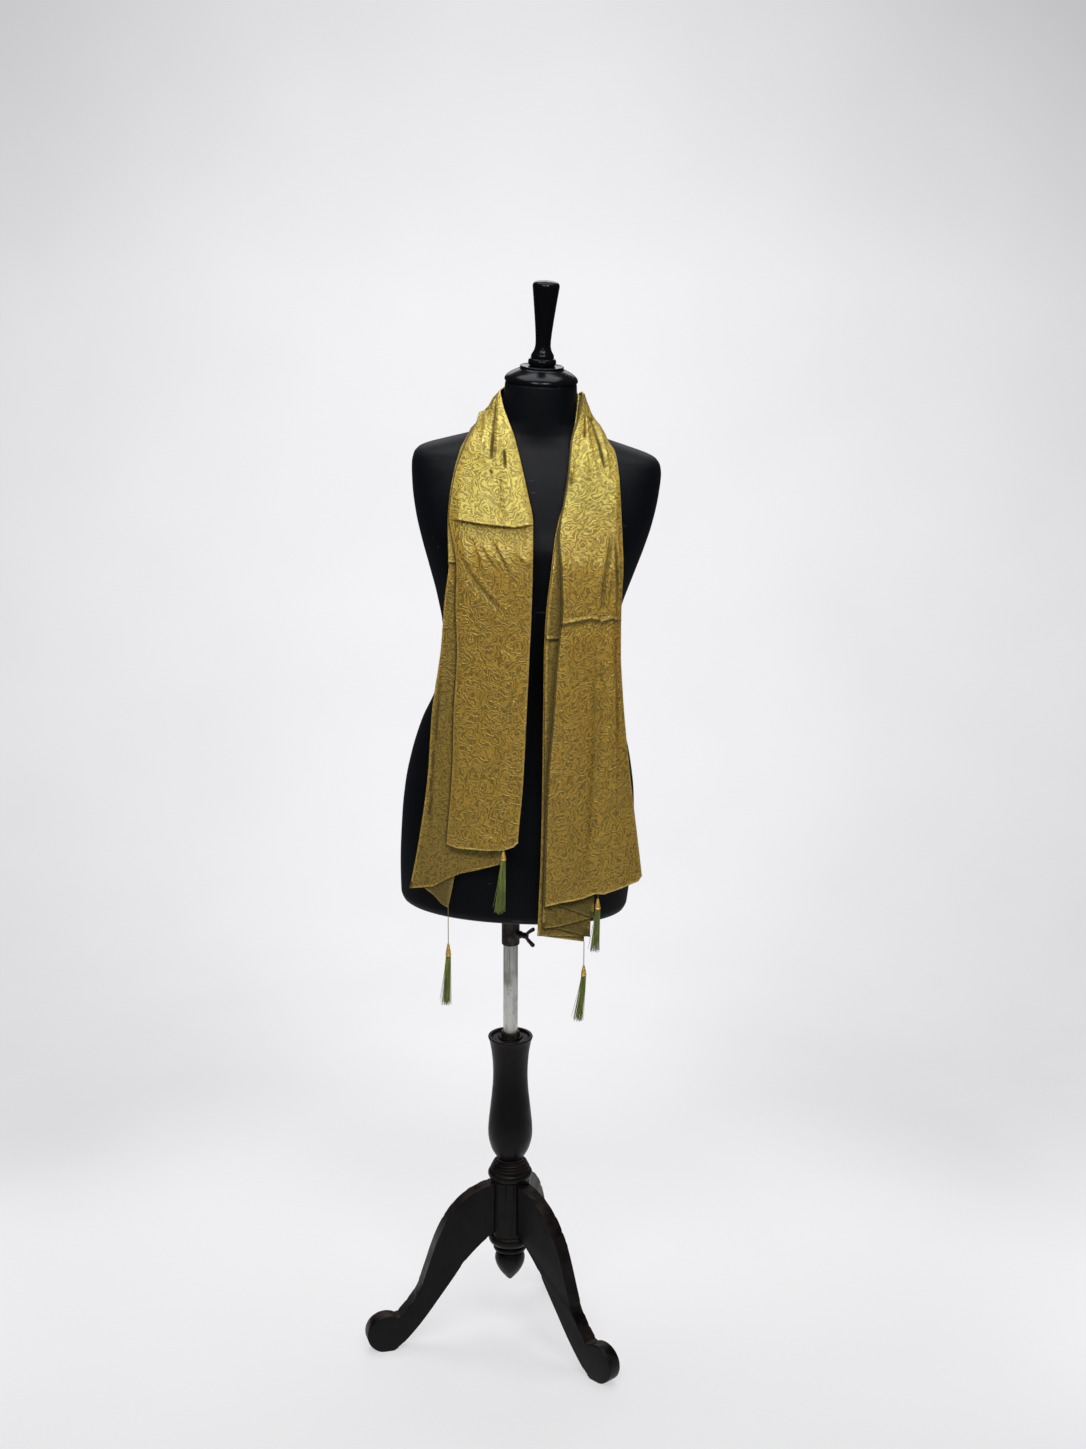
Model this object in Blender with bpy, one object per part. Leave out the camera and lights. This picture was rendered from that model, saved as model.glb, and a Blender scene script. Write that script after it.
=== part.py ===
"""A long stole with a tassel on each corner, hung round the neck of a limbless dress form.

The form is clamped on a steel pole that stands in a turned wooden column with three scroll legs.
Metres, +Z up, the front of the form towards -Y, and the stand rests on Z = 0.
The pole's axis is X = Y = 0 while the pieces are made, and settle() then puts the origin
under the middle of the whole.
"""

import math

import bmesh
import bpy
import numpy as np
from mathutils import Matrix, Vector

# Driving dimensions
GAP = 0.0003  # between pieces that touch on the real thing
SIDES = 20  # round a turned piece

LEAN = math.radians(2.7)  # the form leans over to +X from its clamp
CLAMP = Vector((0.002, 0.0, 0.705))  # where the form's own axis starts
FORM_SIDES = 44
POLE_RADIUS = 0.0115
POLE_BOTTOM, POLE_TOP = 0.372, 1.050
BORE_TOP = 1.250  # the form can slide 0.2 m down before the pole meets the top of its bore
SLEEVE_RADIUS, SLEEVE_BOTTOM, SLEEVE_TOP = 0.0142, 0.688, 0.800
BOLT_HEIGHT, BOLT_TURN = 0.7065, math.radians(-30)
BOLT_RADIUS, BOSS_RADIUS, BOSS_END = 0.0030, 0.0062, 0.0190

RING_BOTTOM, RING_TOP, RING_RADIUS = 0.5313, 0.5400, 0.0150
BEADS_TOP, HUB_TOP, HUB_BOTTOM = 0.3190, 0.2830, 0.1860
HUB_RADIUS, HUB_FLAT = 0.0325, 0.0295
LEG_TURNS = {"left": -165.4, "right": -46.0, "back": 68.0}  # degrees round from +X
LEG_THICK = 0.024
FOOT_CENTRE, FOOT_RADIUS = (0.2090, 0.0315), 0.0326

WALL = 0.0010  # the stole's cloth, as a wall
PITCH = 0.0018  # from one folded layer to the next
TRIM_TOP = 1.00  # the slant of the hems is taken up below this height
STRIP_STEPS = (3, 6, 3, 3, 3, 6, 3)  # faces across each of the seven strips between folds

STRANDS_OUT, STRANDS_IN = 10, 5  # threads in the two rings of a tassel's skirt
STRAND_RADIUS = 0.00045

# The form's rings along its own axis, from its base to the top of its neck
FORM = np.array([
    # height, half width, front depth, back depth, squareness
    (0.7600, 0.1650, 0.1020, 0.1040, 2.2),
    (0.7640, 0.1730, 0.1090, 0.1110, 2.2),
    (0.7750, 0.1775, 0.1125, 0.1150, 2.2),
    (0.8500, 0.1810, 0.1140, 0.1190, 2.2),
    (0.9000, 0.1805, 0.1110, 0.1180, 2.2),
    (0.9500, 0.1775, 0.1060, 0.1120, 2.2),
    (1.0000, 0.1695, 0.1010, 0.1000, 2.2),
    (1.0500, 0.1565, 0.0960, 0.0890, 2.2),
    (1.1000, 0.1370, 0.0910, 0.0810, 2.2),
    (1.1500, 0.1275, 0.0890, 0.0780, 2.2),
    (1.2000, 0.1300, 0.0940, 0.0800, 2.2),
    (1.2500, 0.1405, 0.1060, 0.0850, 2.2),
    (1.3000, 0.1555, 0.1160, 0.0910, 2.3),
    (1.3400, 0.1680, 0.1150, 0.0940, 2.4),
    (1.3800, 0.1785, 0.1030, 0.0950, 2.5),
    (1.4200, 0.1850, 0.0900, 0.0930, 2.6),
    (1.4520, 0.1872, 0.0780, 0.0875, 2.6),
    (1.4650, 0.1852, 0.0720, 0.0825, 2.6),
    (1.4740, 0.1790, 0.0680, 0.0785, 2.5),
    (1.4790, 0.1700, 0.0650, 0.0755, 2.4),
    (1.4880, 0.1420, 0.0600, 0.0700, 2.3),
    (1.5000, 0.1030, 0.0560, 0.0640, 2.1),
    (1.5120, 0.0750, 0.0540, 0.0590, 2.0),
    (1.5300, 0.0580, 0.0535, 0.0555, 2.0),
    (1.5730, 0.0540, 0.0540, 0.0540, 2.0),
])
BUST_HEIGHT, BUST_ASIDE, BUST_FORWARD, BUST_WIDTH, BUST_TALL = 1.295, 0.080, 0.013, 0.040, 0.050

# Turned profiles, radius and height, each from its lower end at the axis to its upper end
CAP_PROFILE = (
    (0, 1.5733), (0.0530, 1.5733), (0.0555, 1.5765), (0.0556, 1.5830), (0.0535, 1.5885), (0.0470, 1.5950),
    (0.0385, 1.6000), (0.0325, 1.6022), (0.0325, 1.6060), (0, 1.6060),
)
FINIAL_PROFILE = (
    (0, 1.6063), (0.0180, 1.6063), (0.0208, 1.6095), (0.0208, 1.6135), (0.0170, 1.6170), (0.0168, 1.6225),
    (0.0135, 1.6275), (0.0114, 1.6390), (0.0128, 1.6600), (0.0163, 1.6920), (0.0193, 1.7160), (0.0200, 1.7225),
    (0.0185, 1.7270), (0.0110, 1.7304), (0, 1.7313),
)
COLUMN_PROFILE = (
    (0, 0.3193), (0.0200, 0.3193), (0.0235, 0.3240), (0.0300, 0.3360), (0.0345, 0.3520), (0.0357, 0.3660),
    (0.0350, 0.3820), (0.0325, 0.4060), (0.0297, 0.4320), (0.0280, 0.4560), (0.0280, 0.4780), (0.0298, 0.5020),
    (0.0335, 0.5220), (0.0358, 0.5290), (0.0352, 0.5318), (0.0305, 0.5318), (0.0295, 0.5290), (0.0190, 0.5290),
    (0.0180, 0.5310),
)
BEADS_PROFILE = (
    (0, 0.2833), (0.0290, 0.2833), (0.0345, 0.2860), (0.0360, 0.2915), (0.0345, 0.2975), (0.0300, 0.2995),
    (0.0318, 0.3020), (0.0305, 0.3062), (0.0262, 0.3078), (0.0275, 0.3100), (0.0255, 0.3135), (0.0215, 0.3148),
    (0.0210, 0.3190), (0, 0.3190),
)
DROP_PROFILE = (
    (0, 0.0983), (0.0060, 0.1035), (0.0160, 0.1160), (0.0225, 0.1290), (0.0245, 0.1400), (0.0225, 0.1490),
    (0.0205, 0.1520), (0.0262, 0.1560), (0.0272, 0.1600), (0.0245, 0.1640), (0.0320, 0.1690), (0.0350, 0.1760),
    (0.0330, 0.1830), (0.0300, 0.1857), (0, 0.1857),
)
# A leg's upper and lower edges, out from the pole's axis and up from the floor
LEG_UPPER = (
    (0.0298, 0.2785), (0.0400, 0.2762), (0.0600, 0.2685), (0.0850, 0.2520), (0.1065, 0.2250), (0.1205, 0.1990),
    (0.1310, 0.1720), (0.1425, 0.1370), (0.1540, 0.1050), (0.1690, 0.0815), (0.1865, 0.0610),
)
LEG_LOWER = (
    (0.1990, 0.0), (0.1840, 0.0110), (0.1625, 0.0335), (0.1430, 0.0575), (0.1195, 0.0900), (0.0980, 0.1200),
    (0.0803, 0.1455), (0.0594, 0.1680), (0.0408, 0.1844), (0.0298, 0.1900),
)

# The stole's band, from its left hem up, round the back of the neck and down to its right hem:
# the places of its inner and outer edges
BAND = np.array([
    # inner edge x, y, z; outer edge x, y, z
    (0.0080, -0.1340, 0.740, -0.1700, -0.0920, 0.740),
    (0.0125, -0.1340, 0.900, -0.1390, -0.0970, 0.900),
    (0.0202, -0.1340, 1.000, -0.1255, -0.1000, 1.000),
    (0.0245, -0.1340, 1.100, -0.1185, -0.1030, 1.100),
    (0.0287, -0.1340, 1.200, -0.1045, -0.1080, 1.200),
    (0.0315, -0.1340, 1.270, -0.0990, -0.1090, 1.270),
    (0.0327, -0.1315, 1.335, -0.0925, -0.1095, 1.335),
    (0.0330, -0.1120, 1.385, -0.0940, -0.0940, 1.385),
    (0.0246, -0.0940, 1.427, -0.0910, -0.0830, 1.427),
    (0.0160, -0.0790, 1.463, -0.0860, -0.0730, 1.455),
    (0.0050, -0.0610, 1.506, -0.0755, -0.0505, 1.489),
    (-0.0105, -0.0360, 1.547, -0.0660, -0.0250, 1.504),
    (-0.0160, -0.0020, 1.566, -0.0600, 0.0040, 1.5105),
    (-0.0060, 0.0340, 1.566, -0.0520, 0.0560, 1.503),
    (0.0160, 0.0520, 1.567, -0.0340, 0.0910, 1.457),
    (0.0420, 0.0570, 1.567, 0.0360, 0.1060, 1.385),
    (0.0680, 0.0520, 1.566, 0.1000, 0.0960, 1.420),
    (0.0900, 0.0350, 1.564, 0.1310, 0.0480, 1.493),
    (0.0988, -0.0020, 1.562, 0.1390, 0.0040, 1.499),
    (0.0925, -0.0380, 1.528, 0.1440, -0.0300, 1.4925),
    (0.0845, -0.0590, 1.497, 0.1510, -0.0490, 1.482),
    (0.0815, -0.0790, 1.460, 0.1560, -0.0690, 1.452),
    (0.0752, -0.0940, 1.420, 0.1585, -0.0820, 1.415),
    (0.0630, -0.1150, 1.365, 0.1612, -0.0940, 1.365),
    (0.0575, -0.1310, 1.320, 0.1622, -0.1060, 1.320),
    (0.0510, -0.1340, 1.260, 0.1600, -0.1100, 1.260),
    (0.0482, -0.1340, 1.200, 0.1603, -0.1090, 1.200),
    (0.0475, -0.1340, 1.100, 0.1670, -0.1070, 1.100),
    (0.0468, -0.1340, 1.000, 0.1778, -0.1040, 1.000),
    (0.0455, -0.1340, 0.900, 0.1905, -0.1000, 0.900),
    (0.0385, -0.1340, 0.700, 0.2150, -0.0940, 0.700),
])
LEFT_SEAM, RIGHT_SEAM = 12, 18  # the rows of BAND at the sides of the neck, where the stretches meet

# How the band is folded at some of BAND's rows: the length turned under at its inner edge, the places
# of the four inner folds as shares of its width, the length turned under at its outer edge, the angle
# of the inner folds, how many layers the first and last of them reach round, and how far the band sinks
# at its inner edge, in its middle and at its outer edge
FOLDS = np.array([
    # row, turn in, fold 1, fold 2, fold 3, fold 4, turn out, angle, first reach, last reach, sinks
    (0, 0.024, 0.62, 0.17, 0.60, 0.16, 0.066, -180, 2, 1, 0, 0, 0),
    (1, 0.022, 0.71, 0.18, 0.69, 0.17, 0.066, -180, 2, 1, 0, 0, 0),
    (3, 0.022, 0.76, 0.20, 0.74, 0.19, 0.066, -180, 2, 1, 0, 0, 0),
    (5, 0.022, 0.86, 0.22, 0.82, 0.20, 0.062, -180, 2, 1, 0, 0, 0),
    (6, 0.022, 0.90, 0.22, 0.86, 0.20, 0.060, -180, 2, 1, 0, 0, 0),
    (7, 0.022, 0.97, 0.20, 0.90, 0.18, 0.056, -180, 2, 1, 0, 0, 0),
    (9, 0.022, 0.96, 0.30, 0.88, 0.26, 0.046, -180, 2, 1, 0.002, 0, 0),
    (10, 0.022, 0.88, 0.38, 0.82, 0.36, 0.036, -180, 2, 1, 0.004, 0.001, 0),
    (11, 0.022, 0.76, 0.42, 0.72, 0.40, 0.026, -180, 2, 1, 0.007, 0.008, 0.001),
    (12, 0.022, 0.68, 0.44, 0.66, 0.42, 0.022, -180, 2, 1, 0.008, 0.010, 0.001),
    (13, 0.024, 0.55, 0.48, 0.70, 0.64, 0.018, -180, 2, 1, 0.006, 0.005, 0.001),
    (14, 0.026, 0.38, 0.36, 0.68, 0.66, 0.020, -80, 1, 1, 0.002, 0, 0),
    (15, 0.028, 0.33, 0.33, 0.66, 0.66, 0.026, -12, 1, 1, 0, 0, 0),
    (16, 0.028, 0.34, 0.32, 0.64, 0.62, 0.026, 80, 1, 1, 0, 0, 0.002),
    (17, 0.022, 0.46, 0.34, 0.60, 0.42, 0.026, 180, 1, 2, 0, 0.007, 0.006),
    (18, 0.020, 0.60, 0.26, 0.62, 0.24, 0.026, 180, 1, 2, 0, 0.009, 0.009),
    (19, 0.022, 0.68, 0.18, 0.70, 0.16, 0.028, 180, 1, 2, 0, 0.006, 0.008),
    (20, 0.034, 0.74, 0.12, 0.76, 0.12, 0.036, 180, 1, 2, 0, 0.001, 0.004),
    (22, 0.044, 0.70, 0.05, 0.72, 0.09, 0.044, 180, 1, 2, 0, 0, 0),
    (24, 0.048, 0.62, 0.04, 0.64, 0.18, 0.054, 180, 1, 2, 0, 0, 0),
    (25, 0.050, 0.60, 0.04, 0.62, 0.185, 0.058, 180, 1, 2, 0, 0, 0),
    (27, 0.056, 0.57, 0.04, 0.59, 0.10, 0.062, 180, 1, 2, 0, 0, 0),
    (28, 0.060, 0.55, 0.04, 0.57, 0.04, 0.066, 180, 1, 2, 0, 0, 0),
    (29, 0.068, 0.53, 0.03, 0.55, 0.025, 0.070, 180, 1, 2, 0, 0, 0),
    (30, 0.076, 0.46, 0.04, 0.485, 0.03, 0.074, 180, 1, 2, 0, 0, 0),
])
# The hems: a place counted in strips from the inner selvedge, and its height
LEFT_HEM = np.array([
    (0, 0.8925), (1, 0.9050), (1.04, 0.8995), (1.2, 0.8927), (1.45, 0.8903), (1.85, 0.8905), (2, 0.8950),
    (3, 0.8950), (4, 0.8970), (4.8, 0.8930), (5, 0.8664), (5.27, 0.8540), (5.45, 0.8468), (5.6, 0.8360),
    (5.75, 0.8220), (6, 0.8162), (6.4, 0.8185), (6.7, 0.8070), (7, 0.7895),
])
RIGHT_HEM = np.array([
    (0, 0.7370), (1, 0.7530), (2, 0.7455), (2.7, 0.7640), (3, 0.7661), (3.3, 0.7670), (4, 0.7772),
    (4.75, 0.8044), (5, 0.8035), (5.15, 0.8085), (5.38, 0.8126), (5.5, 0.8186), (5.6, 0.8170),
    (5.86, 0.8300), (5.96, 0.8335), (6, 0.8400), (6.4, 0.8380), (7, 0.8165),
])
# Soft ridges that stand out of the front of the cloth, along BAND's rows and across the band
RIDGES = np.array([
    # first row, last row, place across at the first, and at the last, width, height
    (7.4, 12.6, 0.16, 0.22, 0.16, 0.0040),
    (7.4, 12.6, 0.62, 0.64, 0.17, 0.0045),
    (9.4, 13.4, 0.93, 0.92, 0.09, 0.0040),
    (2.0, 6.6, 0.20, 0.30, 0.22, 0.0030),
    (13.6, 16.8, 0.34, 0.34, 0.08, 0.0050),
    (13.4, 16.6, 0.51, 0.53, 0.08, 0.0070),
    (13.6, 16.4, 0.68, 0.70, 0.07, 0.0050),
    (17.4, 21.6, 0.92, 0.66, 0.13, 0.0040),
    (17.4, 22.6, 0.35, 0.30, 0.18, 0.0045),
    (19.0, 24.0, 0.97, 0.88, 0.09, 0.0045),
    (23.6, 30.6, 0.84, 0.78, 0.17, 0.0085),
    (24.6, 30.6, 0.36, 0.24, 0.20, 0.0045),
])

# The four tassels, each hung from a corner of the stole: how far forward of the corner, where its cap
# and its skirt start and end, how far the skirt's foot sways to +X, and how wide it spreads
TASSELS = {
    # name: forward, cap top, cap bottom, skirt bottom, sway, spread
    "left_inner": (0.0015, 0.9000, 0.8765, 0.7925, -0.0060, 0.0085),
    "left_outer": (0.0000, 0.7300, 0.7100, 0.6296, -0.0040, 0.0080),
    "right_inner": (0.0000, 0.6980, 0.6810, 0.6065, -0.0080, 0.0080),
    "right_outer": (0.0005, 0.8090, 0.7920, 0.7231, -0.0050, 0.0050),
}


def clear_scene():
    for old in list(bpy.data.objects):
        bpy.data.objects.remove(old, do_unlink=True)


def material(name, colour, roughness, metallic=0.0):
    made = bpy.data.materials.new(name)
    made.use_nodes = True
    shader = made.node_tree.nodes["Principled BSDF"]
    shader.inputs["Base Color"].default_value = (*colour, 1.0)
    shader.inputs["Roughness"].default_value = roughness
    shader.inputs["Metallic"].default_value = metallic
    return made


def finish(name, bm, finish_material, smooth=35):
    """Turns a bmesh into the named object, with its faces out."""
    bmesh.ops.recalc_face_normals(bm, faces=bm.faces)
    mesh = bpy.data.meshes.new(name)
    bm.to_mesh(mesh)
    bm.free()
    mesh.materials.append(finish_material)
    mesh.shade_smooth()
    mesh.set_sharp_from_angle(angle=math.radians(smooth))
    made = bpy.data.objects.new(name, mesh)
    bpy.context.scene.collection.objects.link(made)
    return made


def cutter(tool, target, operation="DIFFERENCE"):
    """Adds the tool to the target as a Boolean and leaves the tool out of the model."""
    tool.hide_render = True
    tool.display_type = "WIRE"
    boolean = target.modifiers.new(operation.title(), "BOOLEAN")
    boolean.operation = operation
    boolean.object = tool


def turned(name, profile, finish_material, place=Matrix(), sides=SIDES):
    """A solid turned about Z from a profile that starts and ends on the axis or is itself closed."""
    bm = bmesh.new()
    points = [bm.verts.new((radius, 0.0, height)) for radius, height in profile]
    loop = points if profile[0][0] == 0 else points + points[:1]
    edges = [bm.edges.new(pair) for pair in zip(loop, loop[1:])]
    bmesh.ops.spin(
        bm, geom=points + edges, axis=(0, 0, 1), cent=(0, 0, 0), angle=math.tau, steps=sides, use_merge=True
    )
    bmesh.ops.remove_doubles(bm, verts=bm.verts, dist=1e-6)
    bmesh.ops.transform(bm, matrix=place, verts=bm.verts)
    return finish(name, bm, finish_material)


def smooth_curve(points, steps):
    """Points on a Catmull-Rom curve through the given ones."""
    given = [Vector(point) for point in points]
    line = [2 * given[0] - given[1], *given, 2 * given[-1] - given[-2]]
    curve = [given[0]]
    for before, start, end, after in zip(line, line[1:], line[2:], line[3:]):
        for step in range(1, steps + 1):
            t = step / steps
            curve.append(
                0.5 * (2 * start + (end - before) * t + (2 * before - 5 * start + 4 * end - after) * t**2
                       + (3 * start - before - 3 * end + after) * t**3)
            )
    return curve


def leaning():
    """From the form's own axes to the room's."""
    return Matrix.Translation(CLAMP) @ Matrix.Rotation(LEAN, 4, "Y") @ Matrix.Translation((0, 0, -CLAMP.z))


def bolt_axes():
    """The bolt's own axes: +X out of the sleeve along its shank."""
    return Matrix.Translation((0, 0, BOLT_HEIGHT)) @ Matrix.Rotation(BOLT_TURN, 4, "Z")


def rod(name, radius, start, end, finish_material, place=Matrix(), sides=SIDES):
    """A plain cylinder along its own X."""
    along = place @ Matrix.Rotation(math.radians(90), 4, "Y")
    profile = ((0, start), (radius, start), (radius, end), (0, end))
    return turned(name, profile, finish_material, along, sides)


def form_point(height, turn):
    """A point of the form's skin: a squared oval with a soft bust, in the form's own axes."""
    half, front, back, square = (np.interp(height, FORM[:, 0], FORM[:, k]) for k in range(1, 5))
    across, forward = math.cos(turn), math.sin(turn)
    x = half * math.copysign(abs(across) ** (2 / square), across)
    y = (front if forward < 0 else back) * math.copysign(abs(forward) ** (2 / square), forward)
    if forward < 0:
        near = ((abs(x) - BUST_ASIDE) / BUST_WIDTH) ** 2 + ((height - BUST_HEIGHT) / BUST_TALL) ** 2
        y -= BUST_FORWARD * math.exp(-near) * min(1, -forward / 0.35)
    return Vector((x, y, height))


def dress_form(jersey):
    """The padded torso, with the bore that slides on the pole."""
    bm = bmesh.new()
    place = leaning()
    rings = []
    for height in FORM[:, 0]:
        turns = [math.tau * (k + 0.5) / FORM_SIDES for k in range(FORM_SIDES)]
        rings.append([bm.verts.new(place @ form_point(height, turn)) for turn in turns])
    for lower, upper in zip(rings, rings[1:]):
        for k in range(FORM_SIDES):
            n = (k + 1) % FORM_SIDES
            bm.faces.new((lower[k], lower[n], upper[n], upper[k]))
    bm.faces.new(rings[0])
    bm.faces.new(rings[-1])
    torso = finish("torso", bm, jersey)
    socket = SLEEVE_RADIUS + GAP
    bore = POLE_RADIUS + GAP
    step = SLEEVE_TOP + GAP
    profile = ((0, 0.70), (socket, 0.70), (socket, step), (bore, step), (bore, BORE_TOP), (0, BORE_TOP))
    cutter(turned("torso_bore", profile, jersey), torso)


def clamp(iron):
    """The sleeve that the form stands on, and the wing bolt that grips the pole."""
    inner = POLE_RADIUS + GAP
    profile = (
        (inner, SLEEVE_BOTTOM), (SLEEVE_RADIUS, SLEEVE_BOTTOM), (SLEEVE_RADIUS, SLEEVE_TOP), (inner, SLEEVE_TOP),
    )
    sleeve = turned("sleeve", profile, iron)
    axes = bolt_axes()
    boss = rod("boss", BOSS_RADIUS, (inner + SLEEVE_RADIUS) / 2, BOSS_END, iron, axes, 16)
    cutter(boss, sleeve, "UNION")
    cutter(rod("thread", BOLT_RADIUS + GAP, 0, BOSS_END + 0.01, iron, axes, 12), sleeve)

    bm = bmesh.new()
    upper = smooth_curve(((0.0205, 0.0045), (0.0270, 0.0052), (0.0340, 0.0120), (0.0400, 0.0165)), 3)
    tip = [(0.0400 + 0.0035 * math.sin(a), 0.0130 + 0.0035 * math.cos(a)) for a in (0.6, 1.3, 2.0, 2.7)]
    inner_edge = [(0.0345, 0.0050), (0.0320, 0.0030)]
    half = [(point[0], point[1]) for point in upper] + tip + inner_edge
    outline = half + [(x, -z) for x, z in reversed(half)]
    face = bm.faces.new([bm.verts.new((x, -0.0018, z)) for x, z in outline])
    moved = bmesh.ops.extrude_face_region(bm, geom=[face])["geom"]
    for vert in moved:
        if isinstance(vert, bmesh.types.BMVert):
            vert.co.y += 0.0036
    bmesh.ops.transform(bm, matrix=axes, verts=bm.verts)
    wings = finish("wing_bolt", bm, iron)
    shank = rod("shank", BOLT_RADIUS, POLE_RADIUS + GAP, 0.0215, iron, axes, 12)
    cutter(shank, wings, "UNION")
    collar = rod("collar", 0.0048, BOSS_END + GAP, 0.0300, iron, axes, 14)
    cutter(collar, wings, "UNION")


def stand(wood, steel, iron):
    """The pole, its ring, the turned column, the hub and the three legs."""
    turned("pole", ((0, POLE_BOTTOM), (POLE_RADIUS, POLE_BOTTOM), (POLE_RADIUS, POLE_TOP), (0, POLE_TOP)), steel)
    bore = POLE_RADIUS + GAP
    ring = (
        (bore, RING_BOTTOM), (RING_RADIUS, RING_BOTTOM), (RING_RADIUS, RING_TOP - 0.0015),
        (RING_RADIUS - 0.0012, RING_TOP), (bore, RING_TOP),
    )
    turned("pole_ring", ring, iron)
    column_top = COLUMN_PROFILE[-1][1]
    socket = ((bore, column_top), (bore, POLE_BOTTOM - GAP), (0, POLE_BOTTOM - GAP))
    turned("column", COLUMN_PROFILE + socket, wood)
    turned("bead_rings", BEADS_PROFILE, wood)
    turned("drop", DROP_PROFILE, wood)
    hub(wood)
    for side, degrees in LEG_TURNS.items():
        leg("leg_" + side, math.radians(degrees), wood)


def hub(wood):
    """The round block under the beads, with a flat for each leg."""
    bm = bmesh.new()
    outline = []
    flats = [math.radians(degrees) for degrees in LEG_TURNS.values()]
    for k in range(72):
        turn = math.tau * k / 72 + flats[0]
        aside = min(abs((turn - flat + math.pi) % math.tau - math.pi) for flat in flats)
        radius = min(HUB_RADIUS, HUB_FLAT / math.cos(aside)) if aside < 1 else HUB_RADIUS
        outline.append(bm.verts.new((radius * math.cos(turn), radius * math.sin(turn), HUB_BOTTOM)))
    face = bm.faces.new(outline)
    for vert in bmesh.ops.extrude_face_region(bm, geom=[face])["geom"]:
        if isinstance(vert, bmesh.types.BMVert):
            vert.co.z = HUB_TOP
    finish("hub", bm, wood)


def leg(name, turn, wood):
    """A scroll leg, sawn from board: two swept edges and a round foot with a flat underneath."""
    cx, cz = FOOT_CENTRE
    start = math.atan2(LEG_UPPER[-1][1] - cz, LEG_UPPER[-1][0] - cx)
    end = -math.radians(70)
    foot = [
        (cx + FOOT_RADIUS * math.cos(start + (end - start) * k / 12),
         cz + FOOT_RADIUS * math.sin(start + (end - start) * k / 12))
        for k in range(1, 13)
    ]
    foot.append((cx + 0.006, 0.0))
    upper = [(p[0], p[1]) for p in smooth_curve(LEG_UPPER, 2)]
    lower = [(p[0], p[1]) for p in smooth_curve(LEG_LOWER, 2)]
    outline = upper + foot + lower
    bm = bmesh.new()
    face = bm.faces.new([bm.verts.new((r, -LEG_THICK / 2, z)) for r, z in outline])
    for vert in bmesh.ops.extrude_face_region(bm, geom=[face])["geom"]:
        if isinstance(vert, bmesh.types.BMVert):
            vert.co.y = LEG_THICK / 2
    bmesh.ops.transform(bm, matrix=Matrix.Rotation(turn, 4, "Z"), verts=bm.verts)
    finish(name, bm, wood)


def through(places, values, at):
    """Reads smooth curves through rows of values, with no overshoot between them."""
    places, values, at = (np.asarray(given, float) for given in (places, values, at))
    steps = np.diff(places)
    rise = np.diff(values, axis=0) / steps[:, None]
    slope = np.zeros_like(values)
    same = rise[:-1] * rise[1:] > 0
    mean = 2 * rise[:-1] * rise[1:] / np.where(same, rise[:-1] + rise[1:], 1)
    slope[1:-1] = np.where(same, mean, 0)
    slope[0], slope[-1] = rise[0], rise[-1]
    k = np.clip(np.searchsorted(places, at, "right") - 1, 0, len(steps) - 1)
    t, h = ((at - places[k]) / steps[k])[:, None], steps[k][:, None]
    return (
        (1 + 2 * t) * (1 - t) ** 2 * values[k] + t * (1 - t) ** 2 * h * slope[k]
        + t**2 * (3 - 2 * t) * values[k + 1] - t**2 * (1 - t) * h * slope[k + 1]
    )


def strip_places():
    """Each point across the cloth, counted in strips from the inner selvedge, a fold at each whole number."""
    places = []
    for strip, steps in enumerate(STRIP_STEPS):
        places += [strip + (k + 0.0) / steps for k in range(steps + 1)]
        places.append(strip + 1)
    return np.array(places[:-1])


def folded(width, row):
    """The band's cross-section at a row: distance across and distance off the body, for each point."""
    turn_in, fold1, fold2, fold3, fold4, turn_out, angle, reach1, reach4, *sinks = row
    angle = math.radians(angle)
    bend = math.pi * PITCH / 2
    turns = [(-math.pi, bend), (angle, bend * reach1), (-angle, bend), (angle, bend), (-angle, bend * reach4),
             (-math.pi, bend)]
    runs = [turn_in, fold1 * width, (fold1 - fold2) * width, (fold3 - fold2) * width, (fold3 - fold4) * width,
            (1 - fold4) * width, turn_out]
    radii = [0] + [length / math.pi for _, length in turns] + [0]
    runs = [max(run - before - after, 0.002) for run, before, after in zip(runs, radii, radii[1:])]
    for _ in range(3):
        heading, here, points = math.pi, np.zeros(2), []
        for strip, steps in enumerate(STRIP_STEPS):
            ahead = np.array([math.cos(heading), math.sin(heading)])
            points += [here + ahead * runs[strip] * k / steps for k in range(steps + 1)]
            here = points[-1]
            if strip < len(turns):
                turn, length = turns[strip]
                for part in (0.5, 0.5):
                    chord = heading + turn * part / 2
                    half = turn * part / 2
                    size = length * part * (math.sin(half) / half if abs(half) > 1e-6 else 1)
                    here = here + size * np.array([math.cos(chord), math.sin(chord)])
                    heading += turn * part
                    if part == 0.5 and len(points) and not points[-1] is here:
                        points.append(here)
                points.pop()
        points = np.array(points)
        short = width - (points[:, 0].max() - points[:, 0].min())
        forward = runs[1] + runs[3] + runs[5]
        for k in (1, 3, 5):
            runs[k] *= 1 + short / forward
    points -= points.min(axis=0)
    points[:, 1] -= through((0, 0.5, 1), np.array(sinks)[:, None], np.clip(points[:, 0] / width, 0, 1))[:, 0]
    return points


def ridges(row, share):
    """How far the soft ridges lift the front of the cloth."""
    lift = np.zeros_like(share)
    for first, last, start, end, wide, high in RIDGES:
        if first < row < last:
            along = (row - first) / (last - first)
            middle = start + (end - start) * along
            lift += high * math.sin(math.pi * along) ** 0.7 * np.exp(-(((share - middle) / wide) ** 2) * 2)
    return lift


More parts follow.
